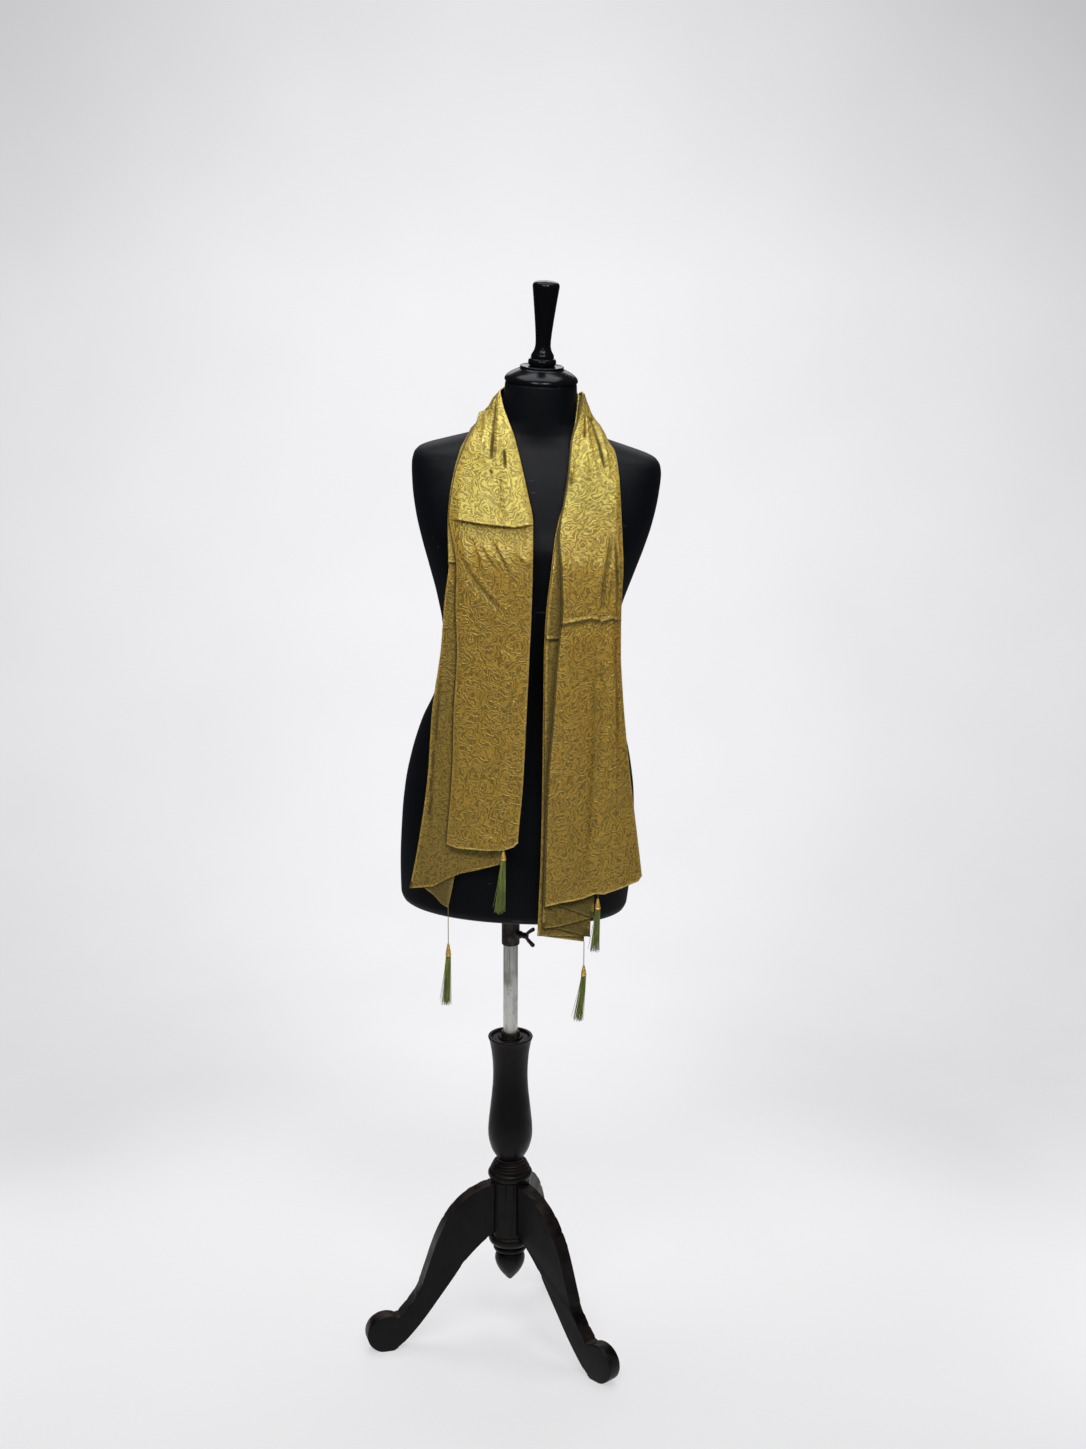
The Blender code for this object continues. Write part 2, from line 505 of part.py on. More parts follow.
def stole_points(rows):
    """The middle of the cloth at each of the given rows of BAND: rows by points across by 3."""
    count = np.arange(len(BAND))
    edges = through(count, BAND, rows)
    ahead = through(count, BAND, np.minimum(rows + 0.05, count[-1]))
    behind = through(count, BAND, np.maximum(rows - 0.05, 0))
    folds = through(FOLDS[:, 0], FOLDS[:, 1:], rows)
    places = strip_places()
    grid = []
    for row, edge, travel, fold in zip(rows, edges, ahead - behind, folds):
        inner, outer = edge[:3], edge[3:]
        width = np.linalg.norm(outer - inner)
        across = (outer - inner) / width
        off = np.cross(travel[:3] + travel[3:], across)
        off /= np.linalg.norm(off)
        section = folded(width, fold)
        share = np.clip(section[:, 0] / width, 0, 1)
        front = np.clip((section[:, 1] - section[:, 1].max() * 0.9) / PITCH, 0, 1)
        in_front = (places > 1) & (places < 2) if row < LEFT_SEAM else (places > 5) & (places < 6)
        if LEFT_SEAM <= row <= RIGHT_SEAM:
            in_front = np.ones(len(places), bool)
        lift = np.where(in_front, ridges(row, share), 0) * (1 if LEFT_SEAM <= row <= RIGHT_SEAM else front)
        height = section[:, 1] + lift
        grid.append(inner + across * section[:, :1] + off * height[:, None])
    return np.array(grid)


def trimmed(points, hem):
    """Cuts the foot of a fall to its slanting hem; its rows run up from the lowest."""
    places = strip_places()
    cut = np.interp(places, hem[:, 0], hem[:, 1])
    heights = points[:, 0, 2]
    low = heights < TRIM_TOP
    share = (heights[low] - heights[0]) / (TRIM_TOP - heights[0])
    made = points.copy()
    for j, bottom in enumerate(cut):
        wanted = bottom + (TRIM_TOP - bottom) * share
        for axis in range(3):
            made[low, j, axis] = np.interp(wanted, heights, points[:, j, axis])
    return made


def wall(name, points, silk):
    """A closed wall of cloth round a sheet of points."""
    across = np.gradient(points, axis=1)
    along = np.gradient(points, axis=0)
    off = np.cross(along, across)
    off *= WALL / 2 / np.linalg.norm(off, axis=2, keepdims=True)
    bm = bmesh.new()
    sides = [[[bm.verts.new(point) for point in row] for row in points + off * side] for side in (1, -1)]
    rows, columns = points.shape[:2]
    runs_out = np.ceil(strip_places()[1:] - 1e-6) % 2 == 0  # so that layers are split along the same diagonal
    for i in range(rows - 1):
        for j in range(columns - 1):
            for side in sides:
                a, b, c, d = side[i][j], side[i][j + 1], side[i + 1][j + 1], side[i + 1][j]
                for corners in ((a, b, c), (a, c, d)) if runs_out[j] else ((a, b, d), (b, c, d)):
                    bm.faces.new(corners)
        for j in (0, columns - 1):
            bm.faces.new([side[k][j] for side, k in zip((*sides, *sides[::-1]), (i, i, i + 1, i + 1))])
    for i in (0, rows - 1):
        for j in range(columns - 1):
            bm.faces.new([side[i][k] for side, k in zip((*sides, *sides[::-1]), (j, j, j + 1, j + 1))])
    finish(name, bm, silk, 60)


def stole(silk):
    """The three stretches of the stole: down the left, round the neck, down the right; gives its corners."""
    seam = 0.012  # a share of a row of BAND, for the gap at each seam
    last = len(BAND) - 1
    left = np.array([0, 0.4, 0.75, 1.1, 1.5, 2, 3, 4, 5, 5.6, 6.2, 7, 8, 9, 9.6, 10.2, 10.8, 11.4, LEFT_SEAM - seam])
    nape = np.array([LEFT_SEAM + seam, 12.5, 13, 13.5, 14, 14.5, 15, 15.5, 16, 16.5, 17, 17.5, RIGHT_SEAM - seam])
    right = np.array([RIGHT_SEAM + seam, 18.5, 19, 19.5, 20, 21, 22, 23, 24, 24.5, 25, 26, 27, 28, 28.5, 28.9,
                      29.3, 29.65, last])
    left_fall = trimmed(stole_points(left), LEFT_HEM)
    right_fall = trimmed(stole_points(right)[::-1], RIGHT_HEM)
    wall("stole_left", left_fall, silk)
    wall("stole_nape", stole_points(nape), silk)
    wall("stole_right", right_fall[::-1], silk)
    return {
        "left_inner": left_fall[0, 0], "left_outer": left_fall[0, -1],
        "right_inner": right_fall[0, 0], "right_outer": right_fall[0, -1],
    }


def tassel(name, corner, sizes, thread, gold, green):
    """A string, a gilt cap and a skirt of threads, hung from a corner of the stole."""
    forward, cap_top, cap_bottom, skirt_bottom, sway, spread = sizes
    place = Matrix.Translation((corner[0], corner[1] - forward, 0))
    string_top = corner[2] - GAP
    cap_top = min(cap_top, string_top)
    if string_top > cap_top:
        string = ((0, cap_top + GAP), (0.0007, cap_top + GAP), (0.0007, string_top), (0, string_top))
        turned("string_" + name, string, thread, place, 6)
    tall = cap_top - cap_bottom
    profile = (
        (0, cap_bottom), (0.0042, cap_bottom), (0.0045, cap_bottom + 0.1 * tall),
        (0.0034, cap_bottom + 0.45 * tall), (0.0020, cap_bottom + 0.75 * tall), (0.0016, cap_top), (0, cap_top),
    )
    turned("cap_" + name, profile, gold, place, 12)
    top = cap_bottom - GAP
    head = turned("skirt_" + name, ((0, top - 0.003), (0.0040, top - 0.003), (0.0040, top), (0, top)), green,
                  place, 12)
    bm = bmesh.new()
    rings = ((STRANDS_OUT, 0.0031, spread), (STRANDS_IN, 0.0015, spread / 2))
    for ring, (count, root, wide) in enumerate(rings):
        for k in range(count):
            turn = math.tau * (k + 0.3 * ring) / count
            uneven = 0.86 + 0.14 * math.sin(2.4 * k + 1.7 * ring)
            strand(bm, turn, root, wide * uneven, top - 0.0015, skirt_bottom, sway)
    bmesh.ops.transform(bm, matrix=place, verts=bm.verts)
    cutter(finish("strands_" + name, bm, green), head, "UNION")


def strand(bm, turn, root, spread, top, bottom, sway):
    """One thread of a skirt: three-sided, from the head down and out."""
    out = Vector((math.cos(turn), math.sin(turn), 0))
    rings = []
    for part in (0.0, 0.5, 1.0):
        centre = out * (root + (spread - root) * part**1.4)
        centre += Vector((sway * part**1.2, 0, top + (bottom - top) * part))
        corners = [centre + STRAND_RADIUS * Vector((math.cos(a + turn), math.sin(a + turn), 0))
                   for a in (0, math.tau / 3, 2 * math.tau / 3)]
        rings.append([bm.verts.new(corner) for corner in corners])
    for upper, lower in zip(rings, rings[1:]):
        for k in range(3):
            n = (k + 1) % 3
            bm.faces.new((upper[k], lower[k], lower[n], upper[n]))
    bm.faces.new(rings[0])
    bm.faces.new(rings[-1])


def settle():
    """Moves the whole so that the origin lies under its middle."""
    graph = bpy.context.evaluated_depsgraph_get()
    shown = [made for made in bpy.data.objects if not made.hide_render]
    points = np.array([
        made.matrix_world @ vert.co for made in shown for vert in made.evaluated_get(graph).data.vertices
    ])
    low, high = points.min(axis=0), points.max(axis=0)
    middle = Vector(((low[0] + high[0]) / 2, (low[1] + high[1]) / 2, low[2]))
    for made in bpy.data.objects:
        made.location -= middle


def main():
    clear_scene()
    jersey = material("black_jersey", (0.010, 0.011, 0.016), 0.85)
    gloss = material("black_lacquer", (0.008, 0.008, 0.009), 0.12)
    wood = material("black_wood", (0.014, 0.011, 0.010), 0.42)
    steel = material("worn_steel", (0.42, 0.42, 0.38), 0.38, 0.9)
    iron = material("dark_iron", (0.030, 0.024, 0.022), 0.45, 0.6)
    silk = material("olive_gold_satin", (0.38, 0.28, 0.055), 0.42)
    gold = material("gilt_cap", (0.80, 0.52, 0.16), 0.30, 0.8)
    green = material("green_thread", (0.10, 0.16, 0.035), 0.70)
    thread = material("brown_string", (0.20, 0.15, 0.08), 0.80)
    dress_form(jersey)
    turned("neck_cap", CAP_PROFILE, gloss, leaning(), 32)
    turned("finial", FINIAL_PROFILE, gloss, leaning())
    clamp(iron)
    stand(wood, steel, iron)
    corners = stole(silk)
    for name, sizes in TASSELS.items():
        tassel(name, corners[name], sizes, thread, gold, green)
    settle()


main()
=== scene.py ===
"""A long stole with a tassel on each corner, hung round the neck of a dress form on a tripod stand."""

import math
from types import SimpleNamespace

import bmesh
import bpy
import numpy as np
from mathutils import Matrix, Vector
from mathutils.bvhtree import BVHTree


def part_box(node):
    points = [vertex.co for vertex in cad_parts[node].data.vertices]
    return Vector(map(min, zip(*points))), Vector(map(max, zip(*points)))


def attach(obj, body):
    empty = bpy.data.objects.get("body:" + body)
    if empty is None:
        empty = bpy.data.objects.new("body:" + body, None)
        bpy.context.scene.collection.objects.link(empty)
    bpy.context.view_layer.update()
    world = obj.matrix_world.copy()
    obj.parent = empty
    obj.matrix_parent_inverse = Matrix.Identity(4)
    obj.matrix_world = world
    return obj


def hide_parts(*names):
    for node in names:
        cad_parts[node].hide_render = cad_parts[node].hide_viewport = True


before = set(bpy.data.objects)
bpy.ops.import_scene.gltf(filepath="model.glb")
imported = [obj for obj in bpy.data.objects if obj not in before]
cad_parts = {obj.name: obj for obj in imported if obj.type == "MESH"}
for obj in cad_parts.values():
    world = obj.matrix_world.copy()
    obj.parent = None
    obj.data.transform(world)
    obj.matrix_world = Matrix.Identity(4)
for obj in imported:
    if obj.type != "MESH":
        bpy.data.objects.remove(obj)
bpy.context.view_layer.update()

# The camera: a long lens, 3.9 m in front of the stand and 2.2 m above the floor.
# That is over the top of the form, so it is tipped down, and it is turned and rolled by less than a degree.
pitch, yaw, roll = (math.radians(turn) for turn in (16.36, 0.73, 0.34))
ahead = Vector((math.sin(yaw) * math.cos(pitch), math.cos(yaw) * math.cos(pitch), -math.sin(pitch)))
level = Vector((math.cos(yaw), -math.sin(yaw), 0))
upward = level.cross(ahead)
camera_right = math.cos(roll) * level + math.sin(roll) * upward
camera_up = -math.sin(roll) * level + math.cos(roll) * upward


def linked(name, data):
    """A new object in the scene."""
    made = bpy.data.objects.new(name, data)
    bpy.context.scene.collection.objects.link(made)
    return made


lens = bpy.data.cameras.new("camera")
lens.sensor_width, lens.lens = 36.0, 64.6
camera = linked("camera", lens)
camera.matrix_world = Matrix.Translation((0.0065, -3.8762, 2.181)) @ Matrix(
    (camera_right, camera_up, -ahead)
).transposed().to_4x4()
bpy.context.scene.camera = camera
bpy.context.scene.view_settings.view_transform = "Standard"

# Three scroll legs, each sawn from 24 mm board with its long edges eased, and stained black.
# Each is glued and screwed against a flat of the hub; the round foot has a small flat underneath.
pole_low, pole_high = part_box("pole")
POLE_AXIS = Matrix.Translation(((pole_low.x + pole_high.x) / 2, (pole_low.y + pole_high.y) / 2, 0))
LEG_TURNS = {"left": -165.4, "right": -46.0, "back": 68.0}
LEG_THICK, LEG_EASED = 0.024, 0.0019
FOOT_CENTRE, FOOT_RADIUS, FOOT_HEEL = (0.209, 0.0315), 0.0326, 0.006
AGAINST_HUB = 0.0299  # the edges within this radius are glued against the hub, and stay sharp
LEG_UPPER = (
    (0.0298, 0.2785), (0.04, 0.2762), (0.06, 0.2685), (0.085, 0.252), (0.1065, 0.225), (0.1205, 0.199),
    (0.131, 0.172), (0.1425, 0.137), (0.154, 0.105), (0.169, 0.0815), (0.1865, 0.061),
)
LEG_LOWER = (
    (0.199, 0.0), (0.184, 0.011), (0.1625, 0.0335), (0.143, 0.0575), (0.1195, 0.09), (0.098, 0.12),
    (0.0803, 0.1455), (0.0594, 0.168), (0.0408, 0.1844), (0.0298, 0.19),
)


def add(tree, kind, given=(), **settings):
    """One shader node, wired or set as given; gives its outputs."""
    made = tree.nodes.new("ShaderNode" + kind)
    for name, value in settings.items():
        setattr(made, name, value)
    for socket, value in dict(given).items():
        if isinstance(value, bpy.types.NodeSocket):
            tree.links.new(value, made.inputs[socket])
        else:
            made.inputs[socket].default_value = value
    return made.outputs


def maths(tree, operation, *values):
    """Arithmetic on numbers and other nodes' values."""
    return add(tree, "Math", dict(enumerate(values)), operation=operation)["Value"]


def ranged(tree, value, low=0.0, high=1.0, to_low=0.0, to_high=1.0, **settings):
    """A value carried from one range to another, and held at its ends."""
    given = {"Value": value, "From Min": low, "From Max": high, "To Min": to_low, "To Max": to_high}
    return add(tree, "MapRange", given, **settings)["Result"]


def spots(tree, scale, detail, low=0.35, high=0.65, along=1.0, shift=0.0):
    """Cloudy noise between 0 and 1, drawn out upright where its scale along z is small."""
    where = add(tree, "TexCoord")["Object"]
    place = {"Vector": where, "Scale": (1, 1, along), "Location": (shift, 0.3 * shift, shift)}
    placed = add(tree, "Mapping", place)["Vector"]
    noise = add(tree, "TexNoise", {"Vector": placed, "Scale": scale, "Detail": detail})["Fac"]
    return ranged(tree, noise, low, high)


def blend_colours(tree, share, first, second, way="MIX"):
    """A colour between two, each a colour or another node's."""
    made = tree.nodes.new("ShaderNodeMix")
    made.data_type, made.blend_type = "RGBA", way
    for socket, value in ((made.inputs["Factor"], share), (made.inputs[6], first), (made.inputs[7], second)):
        if isinstance(value, bpy.types.NodeSocket):
            tree.links.new(value, socket)
        else:
            socket.default_value = (*value, 1.0) if isinstance(value, tuple) else value
    return made.outputs[2]


def new_finish(name, **shader):
    """A material with its Principled shader set; gives the material, its tree and the shader's inputs."""
    made = bpy.data.materials.new(name)
    made.use_nodes = True
    inputs = made.node_tree.nodes["Principled BSDF"].inputs
    for socket, value in shader.items():
        inputs[socket.replace("_", " ")].default_value = value
    return made, made.node_tree, inputs


def layered(tree, colour, *layers):
    """A colour with others laid over it, each where its share says."""
    for share, over in layers:
        colour = blend_colours(tree, share, colour, over)
    return colour


def wire(tree, shader, colours, rough=(), relief=()):
    """Wires layered colours, a roughness (value, at 0, at 1) and a relief (height, strength, distance)."""
    tree.links.new(layered(tree, *colours), shader["Base Color"])
    if rough:
        value, smoothest, roughest = rough
        tree.links.new(ranged(tree, value, to_low=smoothest, to_high=roughest), shader["Roughness"])
    if relief:
        bump = add(tree, "Bump", dict(zip(("Height", "Strength", "Distance"), relief)))
        tree.links.new(bump["Normal"], shader["Normal"])


def black_stain(name, top_sheen=0.055):
    """Black-stained wood under a thin satin varnish: close upright grain, and a painted brown sheen on its
    upward faces.
    """
    made, tree, shader = new_finish(name, IOR=1.5, Specular_IOR_Level=0.16)
    grain = spots(tree, 420, 6, 0.3, 0.7, along=0.06)
    cloud = spots(tree, 38, 4, 0.38, 0.62, shift=3.0)
    colours = (0.0014, 0.0012, 0.0012), (grain, (0.004, 0.0032, 0.0029))
    # Painted sheen: faces that turn upward are painted paler brown in cloudy patches, where they would catch
    # the overhead light.
    facing = add(tree, "SeparateXYZ", {"Vector": add(tree, "NewGeometry")["Normal"]})["Z"]
    painted_sheen = maths(tree, "MULTIPLY", ranged(tree, facing, 0.15, 0.8, 0, 0.75), cloud)
    colours += (painted_sheen, (top_sheen * 0.62, top_sheen * 0.42, top_sheen * 0.33)),
    wire(tree, shader, colours, (cloud, 0.34, 0.47), (grain, 0.16, 0.0004))
    return made


def smooth_curve(points, steps):
    """Points on a smooth curve through the given ones."""
    given = [Vector(point) for point in points]
    line = [2 * given[0] - given[1], *given, 2 * given[-1] - given[-2]]
    curve = [given[0]]
    for before, start, end, after in zip(line, line[1:], line[2:], line[3:]):
        for step in range(1, steps + 1):
            t = step / steps
            curve.append(
                0.5 * (2 * start + (end - before) * t + (2 * before - 5 * start + 4 * end - after) * t**2
                       + (3 * start - before - 3 * end + after) * t**3)
            )
    return curve


def sawn(outline, axis, far, eased, segments=3, clear_of=-1.0):
    """A board: an outline drawn out along an axis to its far face, its rim eased where clear of a joint."""
    bm = bmesh.new()
    face = bm.faces.new([bm.verts.new(point) for point in outline])
    for vert in bmesh.ops.extrude_face_region(bm, geom=[face])["geom"]:
        if isinstance(vert, bmesh.types.BMVert):
            vert.co[axis] = far
    rim = [edge for edge in bm.edges if abs(edge.verts[0].co[axis] - edge.verts[1].co[axis]) < 1e-6]
    rim = [edge for edge in rim if max(vert.co.x for vert in edge.verts) > clear_of]
    bmesh.ops.bevel(
        bm, geom=rim, offset=eased, segments=segments, profile=0.5, affect="EDGES", clamp_overlap=True
    )
    return bm


def shape(name, bm, finish, body, sharp=35, place=Matrix()):
    """The mesh as a piece of that body, smooth but for its sharp edges."""
    bmesh.ops.transform(bm, matrix=place, verts=bm.verts)
    bmesh.ops.recalc_face_normals(bm, faces=bm.faces)
    mesh = bpy.data.meshes.new(name)
    bm.to_mesh(mesh)
    bm.free()
    mesh.materials.append(finish)
    mesh.shade_smooth()
    mesh.set_sharp_from_angle(angle=math.radians(sharp))
    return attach(linked(name, mesh), body)


leg_wood = black_stain("stained_leg")
foot_x, foot_z = FOOT_CENTRE
foot_start = math.atan2(LEG_UPPER[-1][1] - foot_z, LEG_UPPER[-1][0] - foot_x)
foot = [
    (foot_x + FOOT_RADIUS * math.cos(turn), foot_z + FOOT_RADIUS * math.sin(turn))
    for turn in np.linspace(foot_start, -math.radians(70), 30)[1:]
]
outline = smooth_curve(LEG_UPPER, 6) + foot + [(foot_x + FOOT_HEEL, 0.0)] + smooth_curve(LEG_LOWER, 6)
outline = [(x, -LEG_THICK / 2, z) for x, z in outline]
for side, degrees in LEG_TURNS.items():
    board = sawn(outline, 1, LEG_THICK / 2, LEG_EASED, clear_of=AGAINST_HUB)
    place = POLE_AXIS @ Matrix.Rotation(math.radians(degrees), 4, "Z")
    leg = shape("scroll_leg_" + side, board, leg_wood, "stand", place=place)
    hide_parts("leg_" + side)

# The hub that the legs are fixed to: a round block of the same wood, stained black with them.
# It is turned, and has a flat planed on it for each leg.
HUB_RADIUS, HUB_FLAT, HUB_BOTTOM, HUB_TOP, HUB_EASED = 0.0325, 0.0295, 0.186, 0.283, 0.0008
outline = []
flats = [math.radians(degrees) for degrees in LEG_TURNS.values()]
for turn in np.linspace(0, math.tau, 180, endpoint=False):
    aside = min(abs((turn - flat + math.pi) % math.tau - math.pi) for flat in flats)
    radius = min(HUB_RADIUS, HUB_FLAT / math.cos(aside)) if aside < 1 else HUB_RADIUS
    outline.append((radius * math.cos(turn), radius * math.sin(turn), HUB_BOTTOM))
block = sawn(outline, 2, HUB_TOP, HUB_EASED, 2)
hub = shape("leg_hub", block, black_stain("stained_hub"), "stand", place=POLE_AXIS)
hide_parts("hub")

# The turned pieces of the stand, each turned from one length of wood and stained like the legs:
# a pointed drop under the hub, three beads over it, and the long column with a dished top.
DROP = (
    ((0, 0.0983), (0.003, 0.1003), (0.006, 0.1035), (0.016, 0.116), (0.0225, 0.129), (0.0245, 0.14),
     (0.0225, 0.149), (0.0203, 0.1522)),
    ((0.0206, 0.1524), (0.0262, 0.156), (0.0272, 0.16), (0.0258, 0.1632), (0.0243, 0.164)),
    ((0.0246, 0.1645), (0.032, 0.169), (0.035, 0.176), (0.0335, 0.183), (0.03, 0.1857)),
    ((0, 0.1857), (0, 0.1857)),
)
BEADS = (
    ((0, 0.2833), (0, 0.2833)),
    ((0.029, 0.2833), (0.0338, 0.2855), (0.036, 0.2915), (0.034, 0.2972), (0.0305, 0.299)),
    ((0.0304, 0.2996), (0.0318, 0.3016), (0.0308, 0.304), (0.0286, 0.3046)),
    ((0.0286, 0.305), (0.0296, 0.3064), (0.0286, 0.3082), (0.0262, 0.3088)),
    ((0.0262, 0.3092), (0.0274, 0.3106), (0.0262, 0.3126), (0.0234, 0.3134)),
    ((0.0216, 0.3146), (0.021, 0.3166), (0.0212, 0.319)),
    ((0, 0.319), (0, 0.319)),
)
COLUMN = (
    ((0, 0.3193), (0, 0.3193)),
    ((0.0196, 0.3193), (0.0212, 0.3208), (0.0235, 0.324), (0.03, 0.336), (0.0345, 0.352), (0.0357, 0.366),
     (0.035, 0.382), (0.0325, 0.406), (0.0297, 0.432), (0.028, 0.456), (0.028, 0.478), (0.0298, 0.502),
     (0.033, 0.521), (0.0352, 0.528), (0.0357, 0.5302), (0.035, 0.5317)),
    ((0.0345, 0.5318), (0.0312, 0.5315), (0.03, 0.5303), (0.0292, 0.5284), (0.0278, 0.5277)),
    ((0.02, 0.5277), (0.019, 0.5283), (0.0184, 0.5306), (0.0176, 0.5311), (0.014, 0.5311)),
    ((0.0119, 0.5311), (0.0119, 0.3718)),
    ((0, 0.3718), (0, 0.3718)),
)


def turned(name, runs, finish, body, place=POLE_AXIS, sides=96):
    """A turned piece: smooth runs of radius and height, which meet at sharp corners."""
    profile = []
    for run in runs:
        curve = [tuple(point) for point in smooth_curve(run, 4 if len(run) > 2 else 1)]
        end = Vector(profile[-1]) if profile else None
        profile += [point for point in curve if end is None or (Vector(point) - end).length > 1e-6]
    bm = bmesh.new()
    points = [bm.verts.new((max(radius, 0.0), 0.0, height)) for radius, height in profile]
    loop = points if profile[0][0] == 0 else points + points[:1]
    edges = [bm.edges.new(pair) for pair in zip(loop, loop[1:])]
    bmesh.ops.spin(
        bm, geom=points + edges, axis=(0, 0, 1), cent=(0, 0, 0), angle=math.tau, steps=sides, use_merge=True
    )
    bmesh.ops.remove_doubles(bm, verts=bm.verts, dist=1e-6)
    return shape(name, bm, finish, body, 32, place)


turned_wood = black_stain("stained_turning", 0.035)
for name, node, runs in (("pointed_drop", "drop", DROP), ("turned_beads", "bead_rings", BEADS),
                         ("turned_column", "column", COLUMN)):
    made = turned(name, runs, turned_wood, "stand")
    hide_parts(node)

# A dark iron ring lines the top of the column, and the steel pole stands in it:
# drawn tube, rubbed bright by the sleeve that slides on it, with grey streaks along it.
BORE = 0.0118
iron, tree, shader = new_finish("dark_iron", Metallic=0.55, IOR=1.6)
streaked = spots(tree, 170, 5, 0.42, 0.66, along=0.35)
patches = spots(tree, 60, 5, 0.46, 0.6, shift=7.0)
colours = (0.02, 0.016, 0.015), (streaked, (0.105, 0.078, 0.066)), (patches, (0.012, 0.01, 0.01))
wire(tree, shader, colours, (streaked, 0.55, 0.36), (patches, 0.25, 0.0003))
ring = turned("column_ring", (
    ((BORE, 0.5313), (0.015, 0.5313)), ((0.015, 0.532), (0.015, 0.5386)),
    ((0.0147, 0.5394), (0.014, 0.54)), ((BORE, 0.54), (BORE, 0.5313)),
), iron, "stand", sides=64)
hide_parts("pole_ring")

steel, tree, shader = new_finish("worn_steel", Metallic=0.66, IOR=2.0)
drawn = spots(tree, 260, 4, along=0.02)
stain = spots(tree, 48, 6, 0.5, 0.66, along=0.45, shift=2.0)
spot = spots(tree, 330, 3, 0.66, 0.72, shift=5.0)
height = add(tree, "SeparateXYZ", {"Vector": add(tree, "TexCoord")["Object"]})["Z"]
rubs = spots(tree, 150, 3, 0.52, 0.6, along=0.03, shift=9.0)
rubs = maths(tree, "MULTIPLY", rubs, ranged(tree, height, 0.6, 0.7))
colours = (
    (0.74, 0.735, 0.68), (drawn, (0.92, 0.915, 0.86)), (stain, (0.42, 0.41, 0.36)), (rubs, (0.1, 0.1, 0.09)),
    (spot, (0.12, 0.11, 0.09)),
)
wire(tree, shader, colours, (stain, 0.34, 0.55), (drawn, 0.08, 0.0002))
pole = turned("steel_pole", (
    ((0, 0.372), (0.0105, 0.372)), ((0.0112, 0.3724), (0.0115, 0.3732)), ((0.0115, 0.374), (0.0115, 1.048)),
    ((0.0113, 1.0492), (0.0105, 1.05)), ((0, 1.05), (0, 1.05)),
), steel, "pole", sides=64)
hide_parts("pole")

# The clamp under the form: an iron sleeve with a boss tapped for a cast wing bolt, which grips the pole.
# Both are painted dark and worn through to brown metal.
SLEEVE_BOTTOM, SLEEVE_TOP, SLEEVE_RADIUS = 0.688, 0.8, 0.0142
WING_HALF, WING_EASED = 0.0018, 0.0011
BOLT_AXES = POLE_AXIS @ Matrix.Translation((0, 0, 0.7065)) @ Matrix.Rotation(math.radians(-30), 4, "Z")
ALONG_BOLT = BOLT_AXES @ Matrix.Rotation(math.radians(90), 4, "Y")
sleeve = turned("clamp_sleeve", (
    ((BORE, SLEEVE_BOTTOM), (0.0131, SLEEVE_BOTTOM)),
    ((0.0136, SLEEVE_BOTTOM + 0.0003), (0.0141, SLEEVE_BOTTOM + 0.001),
     (SLEEVE_RADIUS, SLEEVE_BOTTOM + 0.002)),
    ((SLEEVE_RADIUS, SLEEVE_BOTTOM + 0.003), (SLEEVE_RADIUS, SLEEVE_TOP)),
    ((BORE, SLEEVE_TOP), (BORE, SLEEVE_BOTTOM)),
), iron, "form", sides=64)
boss = turned("clamp_boss", (
    ((0.0034, 0.0128), (0.0066, 0.0128)), ((0.0062, 0.0145), (0.0062, 0.0178)),
    ((0.0059, 0.0187), (0.0052, 0.019)), ((0.0034, 0.019), (0.0034, 0.0128)),
), iron, "form", ALONG_BOLT, 40)
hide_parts("sleeve")

upper = smooth_curve(((0.0205, 0.0045), (0.027, 0.0052), (0.034, 0.012), (0.04, 0.0165)), 6)
tip = [(0.04 + 0.0035 * math.sin(a), 0.013 + 0.0035 * math.cos(a)) for a in np.linspace(0.4, 2.8, 9)]
half = [*upper, *tip, (0.0345, 0.005), (0.0332, 0.0036), (0.032, 0.003)]
outline = [(x, -WING_HALF, z) for x, z in half] + [(x, -WING_HALF, -z) for x, z in reversed(half)]
wings = shape("wing_bolt_wings", sawn(outline, 1, WING_HALF, WING_EASED), iron, "bolt", 40, BOLT_AXES)
shank = turned("wing_bolt_shank", (
    ((0, 0.0118), (0.0022, 0.0118)), ((0.003, 0.0126), (0.003, 0.0192)),
    ((0.0046, 0.0194), (0.0049, 0.02), (0.0048, 0.025)), ((0.0047, 0.029), (0.003, 0.0312)),
    ((0, 0.0312), (0, 0.0312)),
), iron, "bolt", ALONG_BOLT, 40)
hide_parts("wing_bolt")

